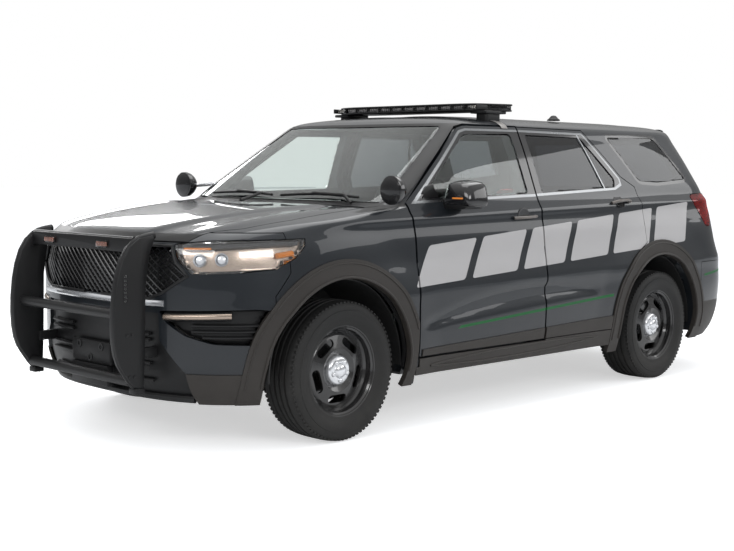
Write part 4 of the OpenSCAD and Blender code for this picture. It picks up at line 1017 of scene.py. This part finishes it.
def on_skin(a, b, view="side"):
    """The skin's point and outward direction behind a place in a side, front or top view."""
    start, way = {"side": ((1.5, a, b), (-1, 0, 0)), "front": ((a, -3.2, b), (0, 1, 0)), "rear": ((a, 3.2, b), (0, -1, 0)),
                  "top": ((a, b, 2.5), (0, 0, -1))}[view]
    place, normal, _, _ = skin_tree.ray_cast(Vector(start), Vector(way))
    if place is None:
        place, normal, _, _ = skin_tree.find_nearest(Vector(start))
    return place, (normal if normal.dot(Vector(way)) < 0 else -normal)

def mirrored(bm):
    """The same mesh on both sides of the car."""
    geometry = bm.verts[:] + bm.edges[:] + bm.faces[:]
    bmesh.ops.mirror(bm, geom=geometry, matrix=Matrix.Identity(4), merge_dist=-1, axis="X")

def flipped(bm, side_name):
    if side_name == "right":
        bmesh.ops.scale(bm, vec=(-1, 1, 1), verts=bm.verts)
    return bm

# %% [markdown]
# ## Wheels
# Patrol cars keep plain steel wheels. A pressed disc with five rounded openings sits in a rolled rim,
# and a small bright cap with five bumps covers the middle. The tyre is a spun section: grooves
# part its tread, and hundreds of tiny slots cut across the shoulders.

# %% Wheel discs, caps and tyres
WHEEL_X = 0.851
def make_wheel(corner, axle, side_name, body):
    tyre = bmesh.new()
    centre = (WHEEL_X, axle, HUB_Z)
    h, r, rim = 0.1275, 0.372, 0.245
    groove = [(0.066, 0.3712), (0.062, 0.362), (0.053, 0.362), (0.050, 0.3717), (0.026, 0.372), (0.023, 0.3625), (0.013, 0.3625), (0.010, 0.372)]
    wall = [(0.1005, rim - 0.0148), (0.1095, rim + 0.002), (0.1115, rim + 0.012), (0.117, rim + 0.022), (0.1255, rim + 0.045), (h, rim + 0.062),
            (h - 0.0006, r - 0.052), (h - 0.0035, r - 0.050), (h - 0.0045, r - 0.036), (h - 0.013, r - 0.017), (h - 0.024, r - 0.0085), (h - 0.040, r - 0.0025)]
    half = wall + groove
    outer = half + [(-a, b) for a, b in reversed(half)]
    inner = [(-0.094, rim - 0.015), (-0.100, rim + 0.030), (-0.090, r - 0.022), (0.090, r - 0.022), (0.100, rim + 0.030), (0.094, rim - 0.015), (0.1005, rim - 0.0148)]
    add_spin(tyre, outer + inner, centre, (1, 0, 0), steps=120)
    lug = bmesh.new()
    for k in range(84):
        for s, shift in ((1, 0.0), (-1, 0.5)):
            turn = Matrix.Rotation(2 * pi * (k + shift) / 84, 3, "X")
            add_block(lug, (WHEEL_X + s * 0.098 - 0.017, axle - 0.0085, HUB_Z + r - 0.0155), (WHEEL_X + s * 0.098 + 0.017, axle + 0.0085, HUB_Z + r - 0.006),
                      bevel=0.002, segments=1, turn=turn, about=centre)
        for s in (1, -1):
            turn = Matrix.Rotation(2 * pi * (k + 0.3 * s) / 84, 3, "X")
            add_block(lug, (WHEEL_X + s * 0.0385 - 0.0095, axle - 0.0105, HUB_Z + r - 0.008), (WHEEL_X + s * 0.0385 + 0.0095, axle + 0.0105, HUB_Z + r - 0.0002),
                      bevel=0, turn=turn, about=centre)
    join(tyre, lug)
    flipped(tyre, side_name)
    finish_piece(tyre, f"tyre_{corner}_{side_name}", tyre_rubber, body, [f"{corner}_tyre_{side_name}"])
    cap = bmesh.new()
    face = WHEEL_X + 0.061
    add_spin(cap, [(face - 0.055, 0.0775), (face + 0.006, 0.0790), (face + 0.018, 0.074), (face + 0.024, 0.064), (face + 0.024, 0.040), (face + 0.034, 0.034),
                   (face + 0.040, 0.024), (face + 0.042, 0.0)], (0, axle, HUB_Z), (1, 0, 0), steps=48)
    for k in range(5):
        a = 2 * pi * (k + 0.5) / 5
        add_spin(cap, [(face + 0.010, 0.0135), (face + 0.028, 0.0130), (face + 0.033, 0.010), (face + 0.035, 0.0)],
                 (0, axle + 0.052 * sin(a), HUB_Z + 0.052 * cos(a)), (1, 0, 0), steps=16)
    flipped(cap, side_name)
    finish_piece(cap, f"wheel_cap_{corner}_{side_name}", chrome, body, smooth_angle=50)

for side_name in ("left", "right"):
    make_wheel("front", AXLES[0], side_name, f"front_wheel_{side_name}")
    make_wheel("rear", AXLES[1], side_name, f"rear_wheel_{side_name}")
print("wheels made")

# %% [markdown]
# Moulded trims are never plain: a rolled bead stiffens each arch's edge, a second line steps its
# middle, and a long raised lens runs along the sill.

# %% Beads on the arches and the sill
beads_arch = bmesh.new()
for axle in AXLES:
    for radius, size in ((0.493, 0.0085), (0.566, 0.0045)):
        run = []
        for k in range(61):
            a = radians(-12 + 204 * k / 60)
            y, z = axle + radius * cos(a), HUB_Z + radius * sin(a)
            if z < 0.30 or (axle < 0 and y > -0.972):
                continue
            place, normal = on_skin(y, z, "side")
            run.append(place + normal * 0.0105)
        add_tube(beads_arch, run, size, steps=8)
mirrored(beads_arch)
finish_piece(beads_arch, "arch_beads", cladding, "body")
sill_lens = bmesh.new()
for side_z in (1, -1):
    run = []
    for k in range(33):
        t = k / 32
        y = -0.84 + 1.62 * t
        place, normal = on_skin(y, 0.336 + 0.024 * t + side_z * 0.028 * max(0, sin(pi * t)) ** 0.7, "side")
        run.append(place + normal * 0.008)
    add_tube(sill_lens, run, 0.006, steps=8)
mirrored(sill_lens)
finish_piece(sill_lens, "sill_beads", cladding, "body")

# %% [markdown]
# ## The push guard
# Two pressed steel uprights stand before the nose, joined by two tubes and a top plate that carries
# small lamp heads. A tube follows each upright's front edge, so that it can lean on another car.

# %% Uprights, tubes and lamp heads
guard_outline = [(-2.388, 1.090), (-2.470, 1.075), (-2.528, 1.035), (-2.566, 0.975), (-2.592, 0.900), (-2.608, 0.820), (-2.618, 0.720), (-2.620, 0.640),
                 (-2.615, 0.560), (-2.604, 0.500), (-2.585, 0.450), (-2.560, 0.412), (-2.525, 0.365), (-2.495, 0.335), (-2.465, 0.315),
                 (-2.442, 0.335), (-2.434, 0.515), (-2.430, 0.840), (-2.405, 1.000), (-2.375, 1.070)]
guard = bmesh.new()
add_plate(guard, guard_outline, SIDE, 0.448, 0.492, bevel=0.006, segments=2)
front_edge = [(0.470, y + 0.020, z - 0.004) for y, z in guard_outline[:15]]
add_tube(guard, curve_through(front_edge, 3), 0.0195, steps=14)
add_block(guard, (0.436, -2.468, 0.474), (0.470, -2.292, 0.526), 0.006)
add_block(guard, (0.440, -2.500, 0.300), (0.500, -2.440, 0.330), 0.006)
for y, z in ((-2.545, 0.600), (-2.515, 0.600), (-2.530, 0.395), (-2.500, 0.392)):
    add_spin(guard, [(0.492, 0.0075), (0.4965, 0.007), (0.498, 0.0)], (0, y, z), (1, 0, 0), steps=6)
mirrored(guard)
for y, z, r in ((-2.560, 0.700, 0.026), (-2.500, 0.365, 0.026)):
    add_tube(guard, [(-0.46, y, z), (0.46, y, z)], r, steps=20)
add_plate(guard, rounded([(-0.465, 1.004), (0.465, 1.004), (0.465, 1.075), (-0.465, 1.075)], 0.01), FRONT, -2.500, -2.462, bevel=0.006)
add_tube(guard, [(-0.46, -2.478, 1.068), (0.46, -2.478, 1.068)], 0.014, steps=12)
finish_piece(guard, "push_guard_frame", satin_black, "body", ["push_guard"])
heads = bmesh.new()
for x in (-0.27, 0.22):
    add_block(heads, (x - 0.050, -2.513, 1.018), (x + 0.050, -2.498, 1.056), 0.004)
for z in [0.765 + 0.020 * k for k in range(7)]:
    for s in (1, -1):
        add_block(heads, (s * 0.4945 - 0.004, -2.565, z), (s * 0.4945 + 0.004, -2.545, z + 0.015), 0.002)
finish_piece(heads, "guard_lamp_heads", lens, "body")
beads = bmesh.new()
for x in (-0.27, 0.22):
    for k in range(6):
        add_block(beads, (x - 0.043 + 0.0148 * k, -2.5110, 1.026), (x - 0.032 + 0.0148 * k, -2.505, 1.048), 0.002)
finish_piece(beads, "guard_lamp_beads", bead_rose, "body")
print("push guard made")

# %% [markdown]
# ## Light bar, spotlights and roof fittings
# The bar is a slim row of dark lenses between two black shells, on short feet at the roof's edge,
# and hooked straps hold it down. Each spotlight is a round black can on the windscreen pillar.

# %% Light bar
def bar_outline(inset=0.0):
    x, front, back = 0.708 - inset, -0.060 + inset, 0.240 - inset
    return rounded([(-x, back), (-x + 0.10, front + 0.03), (-x + 0.24, front), (x - 0.24, front), (x - 0.10, front + 0.03), (x, back)], 0.06, 5)

shell = bmesh.new()
add_plate(shell, bar_outline(0.004), TOP, 1.789, 1.799, bevel=0.004)
add_plate(shell, bar_outline(0.002), TOP, 1.824, 1.8349, bevel=0.005)
for s in (1, -1):
    add_plate(shell, rounded([(s * 0.555, 0.020), (s * 0.645, 0.020), (s * 0.645, 0.160), (s * 0.555, 0.160)], 0.02), TOP, 1.722, 1.795, bevel=0.004)
    add_block(shell, (s * 0.60 - 0.065, -0.010, 1.772), (s * 0.60 + 0.065, 0.190, 1.791), 0.006)
for k in range(-6, 7):
    add_block(shell, (k * 0.104 - 0.004, -0.056, 1.797), (k * 0.104 + 0.004, 0.236, 1.826), 0.001)
finish_piece(shell, "light_bar_shell", satin_black, "body", ["light_bar"])
lenses = bmesh.new()
add_plate(lenses, bar_outline(0.008), TOP, 1.798, 1.825, bevel=0.003)
finish_piece(lenses, "light_bar_lenses", smoked_lens, "body")
emitters = bmesh.new()
for k in range(-6, 6):
    x = k * 0.104 + 0.052
    for j in range(5):
        add_block(emitters, (x - 0.042 + 0.017 * j, -0.030, 1.803), (x - 0.030 + 0.017 * j, -0.020, 1.820), 0.001)
        add_block(emitters, (x - 0.042 + 0.017 * j, 0.205, 1.803), (x - 0.030 + 0.017 * j, 0.215, 1.820), 0.001)
finish_piece(emitters, "light_bar_emitters", reflector, "body")

# %% Straps, antenna and wipers
strap_grey = finish("strap_metal", (0.30, 0.285, 0.27), roughness=0.35, metallic=0.3, grain=900, bump=0.03)
straps = bmesh.new()
for s in (1,):
    path = [(0.600, 0.085, 1.776)]
    for x in (0.63, 0.66, 0.685):
        place, normal = on_skin(x, 0.085, "top")
        path.append(place + normal * 0.004)
    for z in (1.697, 1.688, 1.678):
        place, normal = on_skin(0.085, z, "side")
        path.append(place + normal * 0.004)
    add_tube(straps, path, 0.030, steps=8, flat=0.07)
mirrored(straps)
finish_piece(straps, "light_bar_straps", strap_grey, "body")
antenna = bmesh.new()
add_spin(antenna, [(1.762, 0.045), (1.772, 0.042), (1.780, 0.030), (1.790, 0.022), (1.797, 0.014), (1.799, 0.0)], (0.42, 1.02, 0), (0, 0, 1), steps=24, start=(1, 0, 0))
finish_piece(antenna, "roof_antenna", satin_black, "body")
wipers = bmesh.new()
for x0, x1 in ((0.66, 0.06), (-0.02, -0.60)):
    blade = []
    for k in range(8):
        x = x0 + (x1 - x0) * k / 7
        place, normal = on_skin(abs(x), 1.258 + 0.012 * sin(pi * k / 7), "front")
        blade.append(Vector((x, place.y, place.z)) + Vector((0, -0.012, 0.010)))
    add_tube(wipers, blade, 0.008, steps=8)
    pivot, _ = on_skin(abs(x0 * 0.98), 1.222, "front")
    middle = blade[4]
    add_tube(wipers, [Vector((x0 * 0.98, pivot.y + 0.022, 1.238)), blade[1] + Vector((0, -0.02, 0.006)), middle + Vector((0, -0.008, 0.006))], 0.009, steps=8)
finish_piece(wipers, "wipers", satin_black, "body")

# %% Spotlights
for side_name in ("left", "right"):
    can = bmesh.new()
    cx, cy, cz = 0.915, -1.095, 1.312
    add_spin(can, [(-0.030, 0.0), (-0.030, 0.066), (-0.0295, 0.072), (-0.026, 0.0795), (-0.004, 0.0805), (0.004, 0.078), (0.016, 0.074), (0.034, 0.063),
                   (0.048, 0.050), (0.056, 0.034), (0.058, 0.0)], (cx, cy, cz), (0, 1, 0), steps=40, start=(1, 0, 0))
    flipped(can, side_name)
    finish_piece(can, f"spotlight_{side_name}", gloss_black, "body", ["spot_lamps"])
    arm = bmesh.new()
    root, normal = on_skin(-0.955, 1.318, "side")
    add_tube(arm, curve_through([(cx, cy + 0.045, cz - 0.004), (cx - 0.012, cy + 0.085, cz - 0.004), tuple(root + normal * 0.004)], 4), 0.013, steps=12)
    add_spin(arm, [(-0.012, 0.0), (-0.012, 0.024), (0.010, 0.022), (0.014, 0.0)], root, normal, steps=20)
    flipped(arm, side_name)
    finish_piece(arm, f"spotlight_arm_{side_name}", chrome, "body")
    front_lens = bmesh.new()
    add_spin(front_lens, [(-0.031, 0.069), (-0.034, 0.060), (-0.037, 0.030), (-0.038, 0.0)], (cx, cy, cz), (0, 1, 0), steps=32, start=(1, 0, 0))
    flipped(front_lens, side_name)
    finish_piece(front_lens, f"spotlight_lens_{side_name}", gloss_black, "body")

# %% [markdown]
# ## Mirrors and handles
# The mirror housing is a rounded block, smoothed by subdivision until its corners flow together.
# A small amber slot sits in its front. Door handles bridge a dark scooped cup.

# %% Mirrors
for side_name in ("left", "right"):
    shell = bmesh.new()
    bmesh.ops.create_cube(shell, size=1)
    bmesh.ops.scale(shell, vec=(0.258, 0.190, 0.188), verts=shell.verts)
    for v in shell.verts:
        if v.co.y < 0:
            v.co.x *= 0.88
            v.co.z *= 0.80
        if v.co.x > 0:
            v.co.z *= 0.86
        if v.co.z > 0:
            v.co.y = v.co.y * 0.90 + 0.008
            v.co.x *= 0.76
    bmesh.ops.translate(shell, vec=(1.006, -0.605, 1.287), verts=shell.verts)
    soften(shell, 0.042, 2)
    back = max(shell.faces, key=lambda f: f.calc_center_median().y * 1000 + f.calc_area())
    ring = bmesh.ops.inset_region(shell, faces=[back], thickness=0.008, depth=0)
    bmesh.ops.translate(shell, vec=(0, -0.018, 0), verts=back.verts)
    back.material_index = 1
    flipped(shell, side_name)
    cap = finish_piece(shell, f"mirror_cap_{side_name}", [gloss_black, chrome], f"front_door_{side_name}", [f"mirror_{side_name}"])
    flow = cap.modifiers.new("flow", "SUBSURF")
    flow.levels = flow.render_levels = 2
    foot = bmesh.new()
    root, normal = on_skin(-0.60, 1.235, "side")
    add_plate(foot, rounded([(0.900, 1.205), (1.060, 1.205), (1.085, 1.222), (1.030, 1.232), (0.940, 1.255), (0.892, 1.262)], 0.008), FRONT, -0.680, -0.530, bevel=0.008)
    add_plate(foot, [(-0.905, 1.246), (-0.800, 1.330), (-0.745, 1.345), (-0.690, 1.262), (-0.700, 1.246)], SIDE, 0.868, 0.888, bevel=0.006)
    flipped(foot, side_name)
    finish_piece(foot, f"mirror_foot_{side_name}", satin_black, f"front_door_{side_name}")
    slot = bmesh.new()
    add_plate(slot, rounded([(0.990, 1.262), (1.060, 1.262), (1.060, 1.271), (0.990, 1.271)], 0.004), FRONT, -0.6990, -0.670, bevel=0.001)
    flipped(slot, side_name)
    finish_piece(slot, f"mirror_lamp_{side_name}", amber, f"front_door_{side_name}")

# %% Door handles
handle_grey = finish("handle_grey", (0.115, 0.100, 0.090), roughness=0.35, grain=900, bump=0.03, coat=0.3)
for side_name in ("left", "right"):
    for door, y, z in (("front", 0.030, 1.140), ("rear", 1.090, 1.214)):
        grip, cup = bmesh.new(), bmesh.new()
        path = []
        for k in range(9):
            t = k / 8
            place, normal = on_skin(y - 0.105 + 0.21 * t, z + 0.006 * t, "side")
            path.append(place + normal * (0.004 + 0.026 * min(1, 5.5 * min(t, 1 - t))))
        add_tube(grip, path, 0.017, steps=14, flat=0.55)
        flipped(grip, side_name)
        finish_piece(grip, f"door_handle_{door}_{side_name}", handle_grey, f"{door}_door_{side_name}", smooth_angle=60)
        place, normal = on_skin(y - 0.01, z + 0.012, "side")
        add_spin(cup, [(0.0010, 0.0), (0.0012, 0.030), (0.0014, 0.044), (0.0020, 0.047), (0.0, 0.050)], place, normal, steps=32)
        for v in cup.verts:
            v.co.y = y - 0.01 + (v.co.y - (y - 0.01)) * 1.15
        flipped(cup, side_name)
        finish_piece(cup, f"handle_cup_{door}_{side_name}", gloss_black, f"{door}_door_{side_name}")
print("mirrors and handles made")

# %% [markdown]
# ## The nose
# The grille is a lattice of crossing bars set a little behind the skin, in front of a dark plate.
# Beside it sit the headlamps: a clear cover, a bright bowl, two round projectors, an amber strip
# and a marker. Lower down a black recess holds a thin driving lamp over the body-colour blade.

# %% Grille
across("grille_back", ["mouth"], "body", "black_plastic", node="grille", materials=[rubber], push=-0.050, thickness=0.004, bevel=0)
lattice = bmesh.new()
for lean in (1, -1):
    for k in range(-24, 25):
        run = []
        for i in range(30):
            z = 0.772 + 0.262 * i / 29
            x = k * 0.044 + lean * (z - 0.90) * 1.25
            if abs(x) < 0.66 and inside(grille_mouth, abs(x), z):
                place, normal = on_skin(abs(x), z, "front")
                run.append(Vector((x, place.y + 0.016 + 0.004 * lean, place.z)))
        if len(run) > 3:
            add_tube(lattice, run[::3] + ([run[-1]] if (len(run) - 1) % 3 else []), 0.0048, steps=6)
finish_piece(lattice, "grille_lattice", gloss_black, "body")
frame_line = [p for p in grille_mouth if p[0] > 0]
rim = bmesh.new()
path = []
for a, b in zip([(0.0, 1.035)] + frame_line, frame_line + [(0.0, 0.770)]):
    for i in range(6):
        t = i / 6
        place, normal = on_skin(a[0] + (b[0] - a[0]) * t, a[1] + (b[1] - a[1]) * t, "front")
        path.append(place + normal * 0.001)
add_tube(rim, path, 0.008, steps=8)
mirrored(rim)
finish_piece(rim, "grille_rim", satin_black, "body")
print("grille made")

# %% Headlamps
bowl_warm = finish("lamp_bowl", (0.42, 0.34, 0.28), roughness=0.24, metallic=0.9, grain=60, bump=0.05, spread=0.3)
both_sides("headlamp_bowl", ["headlamp"], "body", "lamp_lens", materials=[bowl_warm], push=-0.040, thickness=0.004, bevel=0)
for side_name in ("left", "right"):
    bezel, projector, strip, marker = bmesh.new(), bmesh.new(), bmesh.new(), bmesh.new()
    line = []
    for a, b in zip(headlamp, headlamp[1:] + headlamp[:1]):
        if a[0] > 1.05 or b[0] > 1.05:
            continue
        for i in range(4):
            place, normal = on_skin(a[0] + (b[0] - a[0]) * i / 4, a[1] + (b[1] - a[1]) * i / 4, "front")
            line.append(place - normal * 0.014)
    for k in range(len(line) - 1):
        if (line[k + 1] - line[k]).length < 0.2:
            add_tube(bezel, [line[k], line[k + 1]], 0.010, steps=6)
    for x, z, r in ((0.690, 0.970, 0.034), (0.775, 0.975, 0.034)):
        place, normal = on_skin(x, z, "front")
        add_spin(projector, [(-0.045, r), (-0.020, r), (-0.017, r * 0.94), (-0.020, r * 0.86), (-0.030, r * 0.80)], place, normal, steps=28)
        add_spin(projector, [(-0.034, r * 0.80), (-0.022, r * 0.55), (-0.017, 0.0)], place, normal, steps=28)
    run = []
    for i in range(8):
        place, normal = on_skin(0.612 + 0.115 * i / 7, 1.026 + 0.002 * i / 7, "front")
        run.append(place - normal * 0.009)
    add_tube(strip, run, 0.0055, steps=8)
    run = []
    for i in range(5):
        place, normal = on_skin(-1.925 + 0.085 * i / 4, 0.992 + 0.012 * i / 4, "side")
        run.append(place - normal * 0.022)
    add_tube(marker, run, 0.020, steps=10, flat=0.7)
    run = []
    for i in range(9):
        x = 0.600 + 0.280 * i / 8
        place, normal = on_skin(x, 1.036 + 0.060 * (x - 0.600), "front")
        run.append(place - normal * 0.020)
    for i in range(6):
        place, normal = on_skin(-1.935 + 0.130 * i / 5, 1.056, "side")
        run.append(place - normal * 0.020)
    add_tube(bezel, run, 0.013, steps=8)
    flipped(bezel, side_name), flipped(projector, side_name), flipped(strip, side_name), flipped(marker, side_name)
    finish_piece(bezel, f"headlamp_bezel_{side_name}", gloss_black, "body")
    finish_piece(projector, f"headlamp_projector_{side_name}", chrome, "body")
    finish_piece(strip, f"headlamp_strip_{side_name}", amber, "body")
    finish_piece(marker, f"headlamp_marker_{side_name}", amber, "body")
print("headlamps made")

# %% Driving lamps in their recess
both_sides("recess_back", ["recess"], "body", "black_plastic", materials=[satin_black], push=-0.050, thickness=0.004, bevel=0)
for side_name in ("left", "right"):
    body_part, beam, slats = bmesh.new(), bmesh.new(), bmesh.new()
    run, inner_run = [], []
    for i in range(12):
        x = 0.530 + 0.290 * i / 11
        place, normal = on_skin(x, 0.682 + 0.012 * i / 11, "front")
        run.append(place - normal * 0.022)
        inner_run.append(place - normal * 0.008)
    add_tube(body_part, run, 0.026, steps=12)
    add_tube(beam, inner_run, 0.0165, steps=12, flat=1.0)
    for z in (0.640, 0.610, 0.580):
        line = []
        for i in range(6):
            place, normal = on_skin(0.66 + 0.24 * i / 5, z, "front")
            if inside(fog_recess, 0.66 + 0.24 * i / 5, z):
                line.append(place - normal * 0.036)
        if len(line) > 2:
            add_tube(slats, line, 0.007, steps=6)
    flipped(body_part, side_name), flipped(beam, side_name), flipped(slats, side_name)
    finish_piece(body_part, f"driving_lamp_case_{side_name}", satin_black, "body")
    finish_piece(beam, f"driving_lamp_{side_name}", bowl_warm, "body")
    finish_piece(slats, f"recess_slats_{side_name}", satin_black, "body")

# %% Lower valance and blank plate bracket
across("valance", ["lower_mouth"], "body", "black_plastic", node="front_bumper", materials=[satin_black], push=-0.018, thickness=0.010, bevel=0.002)
low_nose = bmesh.new()
add_block(low_nose, (-0.165, -2.440, 0.292), (0.165, -2.400, 0.398), 0.004)
add_block(low_nose, (-0.175, -2.432, 0.398), (0.175, -2.400, 0.520), 0.010)
for x, z in ((-0.10, 0.492), (0.10, 0.492), (0.0, 0.430)):
    add_spin(low_nose, [(2.425, 0.022), (2.436, 0.020), (2.436, 0.012), (2.430, 0.010), (2.430, 0.0)], (x, 0, z), (0, -1, 0), steps=20)
for z in (0.590, 0.560, 0.475, 0.440, 0.350):
    for s in (1, -1):
        line = [on_skin(0.20 + 0.24 * i / 5, z, "front") for i in range(6)]
        add_tube(low_nose, [Vector((s * p.x, p.y + 0.006, p.z)) for p, n in line], 0.009, steps=8)
lip = [on_skin(0.62 * i / 8, 0.275, "front") for i in range(9)]
add_tube(low_nose, [Vector((-p.x, p.y + 0.02, 0.262)) for p, n in reversed(lip[1:])] + [Vector((p.x, p.y + 0.02, 0.262)) for p, n in lip], 0.020, steps=10)
finish_piece(low_nose, "nose_fittings", satin_black, "body")
blade = bmesh.new()
line = [on_skin(0.53 * i / 8, 0.748, "front") for i in range(9)]
add_tube(blade, [Vector((-p.x, p.y + 0.004, p.z)) for p, n in reversed(line[1:])] + [Vector((p.x, p.y + 0.004, p.z)) for p, n in line], 0.017, steps=10)
finish_piece(blade, "nose_bar", chrome, "body")
print("nose fittings made")

# %% [markdown]
# ## Tail
# The tail is lit by two wedge lamps. Below the window the gate carries a dark plate pocket,
# and the bumper has two reflectors and twin exhaust tips.

# %% Tail fittings
tail_bowl = finish("tail_lamp_bowl", (0.30, 0.006, 0.008), roughness=0.2, metallic=0.2, grain=120, bump=0.1)
for node_name, piece_name in (("tail_lamps", "tail_bowl"),):
    both_sides(piece_name, ["tail_lamp"], "body", "red_lens", node=node_name, materials=[tail_bowl], push=-0.010, thickness=0.004, bevel=0)
gate_parts, plate = bmesh.new(), bmesh.new()
tail_y = on_skin(0.0, 0.95, "rear")[0].y
add_plate(gate_parts, rounded([(-0.30, 0.840), (0.30, 0.840), (0.34, 1.020), (-0.34, 1.020)], 0.03), FRONT, tail_y - 0.020, tail_y + 0.004, bevel=0.006)
handle_y = on_skin(0.0, 1.055, "rear")[0].y
add_plate(gate_parts, rounded([(-0.42, 1.035), (0.42, 1.035), (0.42, 1.075), (-0.42, 1.075)], 0.012), FRONT, handle_y - 0.02, handle_y + 0.012, bevel=0.005)
wiper_y = on_skin(0.0, 1.32, "rear")[0].y
add_tube(gate_parts, [(0.02, wiper_y + 0.008, 1.285), (0.16, on_skin(0.16, 1.35, "rear")[0].y + 0.014, 1.35), (0.34, on_skin(0.34, 1.42, "rear")[0].y + 0.008, 1.42)], 0.009, steps=8)
finish_piece(gate_parts, "gate_fittings", satin_black, "liftgate")
add_plate(plate, rounded([(-0.155, 0.862), (0.155, 0.862), (0.155, 1.008), (-0.155, 1.008)], 0.01), FRONT, tail_y + 0.003, tail_y + 0.0065, bevel=0.001)
finish_piece(plate, "blank_rear_plate", livery, "liftgate")
spoiler = bmesh.new()
line = [on_skin(0.60 * i / 8, 1.712, "rear") for i in range(9)]
add_tube(spoiler, [Vector((-p.x, p.y - 0.022, 1.712)) for p, n in reversed(line[1:])] + [Vector((p.x, p.y - 0.022, 1.712)) for p, n in line], 0.045, steps=16, flat=0.38)
finish_piece(spoiler, "gate_spoiler", paint, "liftgate")
tips, reflectors = bmesh.new(), bmesh.new()
for s in (1, -1):
    for x in (0.46, 0.55):
        add_spin(tips, [(2.46, 0.026), (2.60, 0.034), (2.606, 0.032), (2.600, 0.029), (2.47, 0.022)], (s * x, 0, 0.335), (0, 1, 0), steps=24)
    place, _ = on_skin(0.66, 0.60, "rear")
    run = [on_skin(0.56 + 0.16 * i / 5, 0.600, "rear")[0] for i in range(6)]
    add_tube(reflectors, [Vector((s * p.x, p.y + 0.001, p.z)) for p in run], 0.014, steps=8)
finish_piece(tips, "exhaust_tips", chrome, "body")
finish_piece(reflectors, "rear_reflectors", tail_bowl, "body")
print("tail made")

# %% [markdown]
# ## Seats
# A seat pad is foam in a tight cover: its middle crowns and its corners pull in.
# Each pad starts as a divided block whose faces are pushed out by a smooth bump,
# then subdivision rounds it.

# %% Padded pieces
def seat_pad(name, lo, hi, nodes=(), crown=0.018, lean=0.0, about=None, grooves=0, body="body"):
    bm = bmesh.new()
    bmesh.ops.create_cube(bm, size=1)
    bmesh.ops.subdivide_edges(bm, edges=bm.edges[:], cuts=9, use_grid_fill=True)
    size = Vector(hi) - Vector(lo)
    middle = (Vector(hi) + Vector(lo)) / 2
    thin = min(range(3), key=lambda k: size[k])
    for v in bm.verts:
        p = v.co * 2
        puff = [1 - abs(c) ** 2.4 for c in p]
        pull = 1 - 0.055 * (abs(p[0]) * abs(p[1]) + abs(p[1]) * abs(p[2]) + abs(p[0]) * abs(p[2]))
        q = Vector([p[k] / 2 * (size[k] - 2 * crown) * pull for k in range(3)])
        for k in range(3):
            others = [puff[m] for m in range(3) if m != k]
            q[k] += (1 if p[k] > 0 else -1) * crown * min(others) ** 0.5 * (abs(p[k]) > 0.99)
        if grooves:
            across_axis = 0
            wave = abs(sin(pi * grooves * (p[across_axis] + 1) / 2))
            q[thin] *= 1 - 0.10 * (1 - min(1, wave * 3)) * (abs(p[across_axis]) < 0.9)
        v.co = middle + q
    if lean:
        bmesh.ops.rotate(bm, cent=Vector(about), matrix=Matrix.Rotation(radians(lean), 3, "X"), verts=bm.verts)
    pad = finish_piece(bm, name, cloth, body, nodes, smooth_angle=180)
    flow = pad.modifiers.new("flow", "SUBSURF")
    flow.levels = flow.render_levels = 1
    return pad

for side_name, s in (("left", 1), ("right", -1)):
    def span(a, b):
        return (min(s * a, s * b), max(s * a, s * b))
    x0, x1 = span(0.165, 0.615)
    node = ["front_seats"]
    seat_pad(f"front_seat_base_{side_name}", (x0, -0.470, 0.425), (x1, 0.010, 0.540), node, grooves=3)
    seat_pad(f"front_seat_back_{side_name}", (x0 + 0.01, 0.020, 0.510), (x1 - 0.01, 0.100, 1.085), node, lean=-12, about=(0, 0.05, 0.5), grooves=3)
    x0, x1 = span(0.265, 0.495)
    seat_pad(f"front_headrest_{side_name}", (x0, 0.165, 1.120), (x1, 0.235, 1.300), node, crown=0.014, lean=-8, about=(0, 0.165, 1.12))
posts = bmesh.new()
for s in (1, -1):
    for x in (0.335, 0.425):
        add_tube(posts, [(s * x, 0.165, 1.055), (s * x, 0.190, 1.150)], 0.007, steps=10)
    add_block(posts, (s * 0.39 - 0.18, -0.42, 0.345), (s * 0.39 + 0.18, -0.04, 0.424), 0.01)
finish_piece(posts, "seat_posts", satin_black, "body", ["front_seats"])
seat_pad("rear_seat_base", (-0.600, 0.440, 0.350), (0.600, 0.910, 0.538), ["rear_seat"], crown=0.02, grooves=6)
seat_pad("rear_seat_back", (-0.600, 0.865, 0.555), (0.600, 0.955, 1.110), ["rear_seat"], crown=0.018, lean=-14, about=(0, 0.85, 0.54), grooves=6)
print("seats made")

# %% Finishes of the CAD parts that stay in view
KEEP = {
    "floor_pan": satin_black, "bulkhead": satin_black, "arch_liners": rubber, "engine_block": iron, "front_frame": satin_black,
    "front_suspension": iron, "rear_suspension": iron, "exhaust": iron, "fuel_tank": satin_black, "dashboard": cabin_black,
    "steering_wheel": cabin_black, "front_wheel_left": wheel_black, "front_wheel_right": wheel_black,
    "rear_wheel_left": wheel_black, "rear_wheel_right": wheel_black}
for name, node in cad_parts.items():
    mat = KEEP.get(name)
    if mat is None and "knuckle" in name:
        mat = iron
    if mat is None:
        mat = satin_black
    node.data.materials.clear()
    node.data.materials.append(mat)
print("CAD nodes", sorted(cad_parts))
